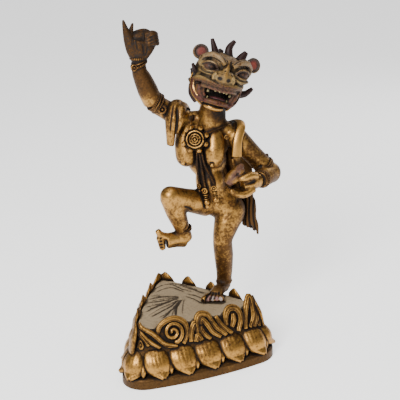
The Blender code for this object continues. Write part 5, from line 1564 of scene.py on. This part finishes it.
def rosette(shapes, centre, facing):
    """The boss on the breast: two rings, a bead in the middle, petals between and beads around."""
    def on_face(angle, radius, proud):
        return centre + facing @ Vector((radius * math.cos(angle), radius * math.sin(angle), proud))

    for radius, depth, proud in ((3.1, 3.2, -0.9), (2.3, 1, 0.9)):
        place = Matrix.Translation(spot(centre + facing @ Vector((0, 0, proud)))) @ facing.to_4x4()
        size = share(radius)
        bmesh.ops.create_cone(
            shapes.bm, segments=40, radius1=size, radius2=size * 0.92, depth=share(depth), cap_ends=True,
            matrix=place,
        )
    for radius, thick, proud in ((2.75, 0.42, 1.1), (1.75, 0.26, 1.5), (0.95, 0.24, 1.7)):
        loop = [(spot(on_face(math.radians(12 * k), radius, proud)), share(thick)) for k in range(31)]
        shapes.tube(loop, sides=10, steps=1)
    bead(shapes, spot(on_face(0, 0, 1.7)), 0.55, cut=12)
    for k in range(8):
        angle = 2 * math.pi * k / 8
        bead(shapes, spot(on_face(angle + 0.2, 1.36, 1.5)), 0.3)
        angle = 2 * math.pi * (k + 0.4) / 8
        bead(shapes, spot(on_face(angle, 3.95, 0.5)), 0.95, cut=16)
        bead(shapes, spot(on_face(angle, 4.0, 1.35)), 0.42)
        for half in (-0.13, 0.13):
            bead(shapes, spot(on_face(angle + math.pi / 8 + half, 3.45, 0.2)), 0.42)


def beaded_string(shapes, stops, size):
    """A cord of small beads that lies on the belly."""
    path = curve_through([spot(chest_point(*stop)) for stop in stops], 8)
    shapes.tube([(p, share(size * 0.66)) for p in path], sides=10, steps=1)
    travelled, due = 0.0, 0.0
    for start, end in zip(path, path[1:]):
        run = (end - start).length
        while due <= travelled + run:
            bead(shapes, start.lerp(end, (due - travelled) / run), size, cut=8)
            due += share(size * 1.15)
        travelled += run


def clasp(shapes, across, level, forwards):
    """A square link, bands and a drop-shaped tassel at the end of a string."""
    forwards += 0.35
    centre = chest_point(across, level, forwards + 0.5)
    stud(shapes, centre, turned(0, 1, TORSO_TURN_DEG), 0.8)
    for drop, size, tall, cut in (
        (1.5, 0.95, 0.34, 14), (2.2, 0.75, 0.34, 14), (2.9, 1, 0.34, 14),
        (4.1, 1.05, 1.2, 16), (5.5, 0.85, 0.9, 16),
    ):
        lump(shapes, chest_point(across, level - drop, forwards + 0.1), (size, size, tall), cut=cut)


def necklace():
    """Cords round the neck, the boss, and three strings with their clasps and tassels."""
    shapes = Shapes()
    facing = Euler((math.radians(76), 0, math.radians(-24))).to_matrix()
    rosette(shapes, Vector(POSE["rosette"]), facing)
    for stops in (
        [(-5.6, 2, 65.4), (-7.4, -0.1, 64), (-8, -1.4, 61.6)],
        [(-4.2, -4, 59.6), (0.4, -3.6, 61), (4.6, -2.4, 61.4), (7, -1, 61.8)],
    ):
        path = curve_through(spots(stops), 8)
        shapes.tube([(p, share(0.4)) for p in path], sides=10, steps=1)
    for stops in (
        [(-1, 55, 6.2), (-1.8, 49.5, 5.9), (-2.4, 45, 5.2), (-2.6, 41.4, 5)],
        [(-0.3, 55, 6.3), (-0.4, 48.5, 6), (-0.4, 43.5, 5.6), (-0.4, 40.6, 5.6)],
        [(0.4, 55, 6.3), (0.9, 49, 6), (2.4, 44.5, 5.4), (3, 41.6, 5.5)],
    ):
        beaded_string(shapes, stops, 0.52)
    clasp(shapes, -0.4, 40.2, 5.6)
    clasp(shapes, 3.1, 41.2, 5.5)
    stud(shapes, chest_point(-2.7, 41.4, 5.3), turned(0, 1, TORSO_TURN_DEG), 0.7)
    bead(shapes, spot(chest_point(-2.7, 39.6, 5.2)), 0.7, cut=12)
    made = shapes.finish("necklace")
    carving = Carving(made)
    away = np.linalg.norm(carving.rest - np.array(spot(POSE["rosette"])), axis=1) / share(1.0)
    level = carving.rest[:, 2] / share(1.0) - spot((0, 0, 0))[2] / share(1.0)
    cords = unit((away - 4.5) / 2) * unit((level - 41.5) / 1.5)
    carving.worn += 0.4 * cords - 0.1
    carving.darken(0.28 * cords)
    carving.done()
    return made


def cape_rows(rows_count, columns):
    """The sheet of the hide down the back, with soft folds that deepen towards its hem."""
    rows = []
    for i in range(rows_count + 1):
        t = i / rows_count
        level = 64.5 - 40.0 * t
        half = 8.8 - 1.2 * math.sin(math.pi * t) + 0.8 * t
        axis = between("hip_l", "chest", min(1, (level - 30.6) / 23.4))
        row = []
        for j in range(columns + 1):
            v = 2 * j / columns - 1
            back = 6.4 - 2.4 * v * v + 0.5 * math.cos(4 * math.pi * v) * t
            back -= 1.2 * math.sin(math.pi * min(1, 1.3 * t))
            back += 0.22 * math.sin(15 * v + 3 * t) * min(1, 2 * t)
            spread_out = half * v * (1.2 - 0.45 * t if v > 0 else 1)
            place = axis + turned(spread_out, -back, TORSO_TURN_DEG + 22 * t)
            drop = 3.0 * t * v * v + 1.4 * v * t
            drop += 5.0 * max(0.0, v) * (1 - t) ** 3 - 5.5 * max(0.0, -v) * t * t
            row.append(spot((place.x, place.y, level - drop)))
        rows.append(row)
    return rows


def strap(shapes):
    """The hide's leg over the left shoulder, as a flat band with a raised rim along each edge."""
    stations = [(9, 4.4, 60.4, 1.5), (10, -0.4, 61.8, 1.5), (9, -4.6, 60.9, 1.5)]
    stations += [(6.7, -6.6, 56.8, 1.5), (5.7, -7.3, 51.2, 1.75)]
    path = smooth_path([(spot(p), share(r)) for *p, r in stations], 8)
    shapes.tube([(p, r) for p, r in path], sides=24, steps=1, flat=0.36, flat_axis=(0, 1, 0.5))
    side = Vector((0, 1, 0.5))
    for edge in (-1, 1):
        rim = []
        for k, (p, r) in enumerate(path):
            ahead = (path[min(k + 1, len(path) - 1)][0] - path[max(k - 1, 0)][0]).normalized()
            side = (side - ahead * side.dot(ahead)).normalized()
            rim.append((p + ahead.cross(side) * r * 0.88 * edge - side * share(0.25), share(0.36)))
        shapes.tube(rim, sides=10, steps=1)


def cape():
    """The hide worn as a cape, its legs over both shoulders and its folded end at the hip."""
    shapes = Shapes()
    shapes.plate(cape_rows(60, 48), share(1.2))
    strap(shapes)
    limb(shapes, [(5.8, -6.2, 52, 1.3), (7, -6.6, 47, 1.2), (8.4, -6.2, 43.6, 1.1)])
    limb(shapes, [(4.6, -6.4, 50.6, 0.7), (5, -7, 47.6, 0.6), (5.6, -7, 45, 0.5)])
    lump(shapes, (8.6, -1.2, 59.2), (2.6, 3.6, 2.2), (0, 30, -30))
    behind = [(9.2, 2.8, 56, 2), (10.9, 2.4, 50.5, 3)]
    behind += [(12, 2.2, 45.6, 3.2), (12.4, 1.4, 41, 2.4)]
    limb(shapes, behind, flat=0.5, flat_axis=(0.3, 1, 0))
    web = [(8.8, 3.6, 58, 1.8), (9.8, 3.6, 52, 2.2)]
    web += [(10.6, 3.2, 46, 2.2), (11.4, 2.6, 40.6, 1.6)]
    limb(shapes, web, flat=0.45, flat_axis=(0.3, 1, 0))
    fold = [(11.6, 1.8, 44, 1.6), (12.2, 0.4, 37, 1.8), (12.8, -0.9, 31, 2)]
    fold += [(12, -1.2, 26, 2.4), (10, -0.8, 23.4, 1.3)]
    limb(shapes, fold, flat=0.6, flat_axis=(0.3, 1, 0))
    limb(shapes, [(13.2, -1.4, 26.4, 1.2), (14, -1.6, 23, 1.2), (14.9, -1.8, 19.6, 0.4)])
    over = [(-6.6, 9.4, 64.8, 2), (-9.6, 6.4, 69, 2.3), (-12, 3.4, 69, 2.3)]
    over += [(-13.6, 1.8, 65.6, 2.5), (-14.2, 1.6, 61.4, 2), (-14.4, 2.4, 56.2, 1.4)]
    limb(shapes, over, flat=0.7, flat_axis=(0.6, 1, 0))
    inner = [(-5.8, 8.6, 65.6, 1.8), (-8.2, 5.6, 68.4, 2), (-10.4, 2, 67.8, 2.2)]
    inner += [(-11.6, 0.8, 64.4, 2), (-12.6, 1.4, 60.6, 1.3)]
    limb(shapes, inner, flat=0.7, flat_axis=(0.6, 1, 0))
    made = shapes.finish("hide_cape")
    fuse(made, CAPE_VOXEL, 1)
    carving = Carving(made)
    for stops, width, deep in (
        ([(-10.2, 4.4, 70.4), (-11.6, 1.2, 69), (-12.4, -0.4, 65), (-13.2, 0, 59.4)], 0.5, 0.45),
        ([(-12.4, 2.2, 70.2), (-14, 0.2, 66.6), (-15, 0.2, 61.4)], 0.4, 0.25),
        ([(12, -3.2, 29.6), (11.2, -3.6, 26.6), (10, -3, 24)], 0.4, 0.35),
        ([(13.2, -3, 28.6), (12.6, -3.4, 25.4), (11.4, -3.2, 23.6)], 0.35, 0.3),
        ([(12.6, -0.6, 40), (13, -2.4, 34), (13.4, -3.2, 29), (14.2, -3, 22.6)], 0.5, 0.5),
        ([(13.6, 0.4, 38), (14.2, -1.6, 31), (14.8, -2.4, 25)], 0.45, 0.45),
        ([(11.6, -2.2, 36), (12, -3, 31.4), (12.2, -3.4, 27.6)], 0.4, 0.4),
        ([(14.8, 1.2, 34), (15.2, -0.6, 29)], 0.4, 0.4),
    ):
        carving.scratch(stops, width, deep, ink=0.6)
    p = figure_shares(carving)
    hairs = np.cos(p[:, 0] * 5.2 + p[:, 1] * 2.2 + 0.8 * np.sin(p[:, 2] * 0.8))
    rear = unit(carving.normals @ np.array((-0.2, 0.98, 0))) * unit((60 - p[:, 2]) / 12)
    carving.points -= carving.normals * (unit(hairs) * rear * share(0.12))[:, None]
    carving.darken(unit(hairs) * rear * 0.5)
    folds = unit(np.cos(p[:, 0] * 3.4 - p[:, 1] * 2.2 + 0.5 * np.sin(p[:, 2] * 0.5)))
    end = unit((43 - p[:, 2]) / 6) * unit((p[:, 0] - 8.5) / 1.5)
    carving.points -= carving.normals * (folds * end * share(0.4))[:, None]
    carving.darken(folds * end * 0.9)
    low = unit((52 - p[:, 2]) / 8)
    carving.worn += 0.5 * low + 0.12 + 0.2 * end
    strap_line = [(10, -0.4, 61.8), (9, -4.6, 60.9), (6.7, -6.6, 56.8), (5.7, -7.3, 52)]
    carving.bare(spots(strap_line), share(2.4), 0.65)
    # Painted shade between the left arm and the torso, laid over the folds there.
    shaded_folds = [(6, -6.4, 51), (7, -7, 47), (9.6, -5, 44.4)]
    carving.paint(shaded_folds, 2.4, "#1f150e", 0.4)
    carving.done()
    return made


def figure_pieces():
    """All that the figure is made of."""
    skin = [figure_body(), *hands(), head_piece(), *mouth_parts(), hair()]
    return [*skin, arm_and_leg_rings(), necklace(), cape()]


# The studio


CAMERA_PLACE = Vector((-0.2775, -0.8184, 0.4421))
CAMERA_AIM = Vector((0.0213, 0, 0.1462))
CAMERA_ROLL_DEG = -3.55
CAMERA_LENS_MM = 93.14


def camera():
    """The photograph's own angle: a little above the middle of the figure, turned slightly."""
    place, aim = CAMERA_PLACE, CAMERA_AIM
    roll = math.radians(CAMERA_ROLL_DEG)
    ahead = (aim - place).normalized()
    right = ahead.cross(Vector((0, 0, 1))).normalized()
    up = right.cross(ahead)
    across = right * math.cos(roll) + up * math.sin(roll)
    upward = up * math.cos(roll) - right * math.sin(roll)
    turn = Matrix((across, upward, -ahead)).transposed()
    data = bpy.data.cameras.new("camera")
    data.lens = CAMERA_LENS_MM
    data.sensor_width = 36
    made = bpy.data.objects.new("camera", data)
    made.matrix_world = Matrix.Translation(place) @ turn.to_4x4()
    bpy.context.scene.collection.objects.link(made)
    bpy.context.scene.camera = made


def soft_light(name, place, aim, size, power):
    """A white light from a rectangle, towards a point."""
    data = bpy.data.lights.new(name, "AREA")
    data.shape = "RECTANGLE"
    data.size, data.size_y = size
    data.energy = power
    made = bpy.data.objects.new(name, data)
    made.location = place
    made.rotation_euler = (Vector(aim) - Vector(place)).to_track_quat("-Z", "Y").to_euler()
    bpy.context.scene.collection.objects.link(made)


def studio():
    """A pale floor without a horizon, a large soft light at the left, and two fills."""
    bpy.ops.object.select_all(action="DESELECT")
    bpy.ops.mesh.primitive_plane_add(size=8, location=(0, 0, -0.0003))
    floor = bpy.context.object
    floor.name = "floor"
    paper = bpy.data.materials.new("matt white paper")
    paper.use_nodes = True
    shader = paper.node_tree.nodes["Principled BSDF"]
    shader.inputs["Base Color"].default_value = linear("#f4f4f2")
    shader.inputs["Roughness"].default_value = 0.9
    shader.inputs["Emission Color"].default_value = linear("#ffffff")
    shader.inputs["Emission Strength"].default_value = 1.2
    floor.data.materials.append(paper)
    world = bpy.data.worlds.new("studio")
    world.use_nodes = True
    sky = world.node_tree.nodes["Background"]
    sky.inputs["Color"].default_value = linear("#f7f8fa")
    sky.inputs["Strength"].default_value = 0.25
    bpy.context.scene.world = world
    soft_light("key", (-0.75, -0.85, 0.95), (0.02, 0, 0.14), (0.5, 0.5), 26)
    soft_light("top", (0.1, -0.1, 1.3), (0.02, 0, 0.1), (0.8, 0.8), 6)
    soft_light("rim", (0.9, 0.5, 0.6), (0.02, 0, 0.16), (0.35, 0.8), 3)


def main():
    base_finish = gilt_bronze("fire-gilt bronze of the base", "#b68642", "#523a20", "#1a110a")
    figure_finish = gilt_bronze("fire-gilt bronze of the figure", "#ba8b48", "#543a20", "#180f09")
    base = [base_body(), *lower_petals(), standing_petals(), frieze_scrolls()]
    figure = figure_pieces()
    mark_hollows_for_dirt_and_shade(base + figure)
    for pieces, node, slot, finish in (
        (base, "lotus_base", "base_gilt_bronze", base_finish),
        (figure, "simhamukha_figure", "gilt_bronze", figure_finish),
    ):
        for piece in pieces:
            piece.data.materials.append(finish)
            piece.data.shade_smooth()
            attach(piece, "root")
            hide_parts(node)
    camera()
    studio()


main()
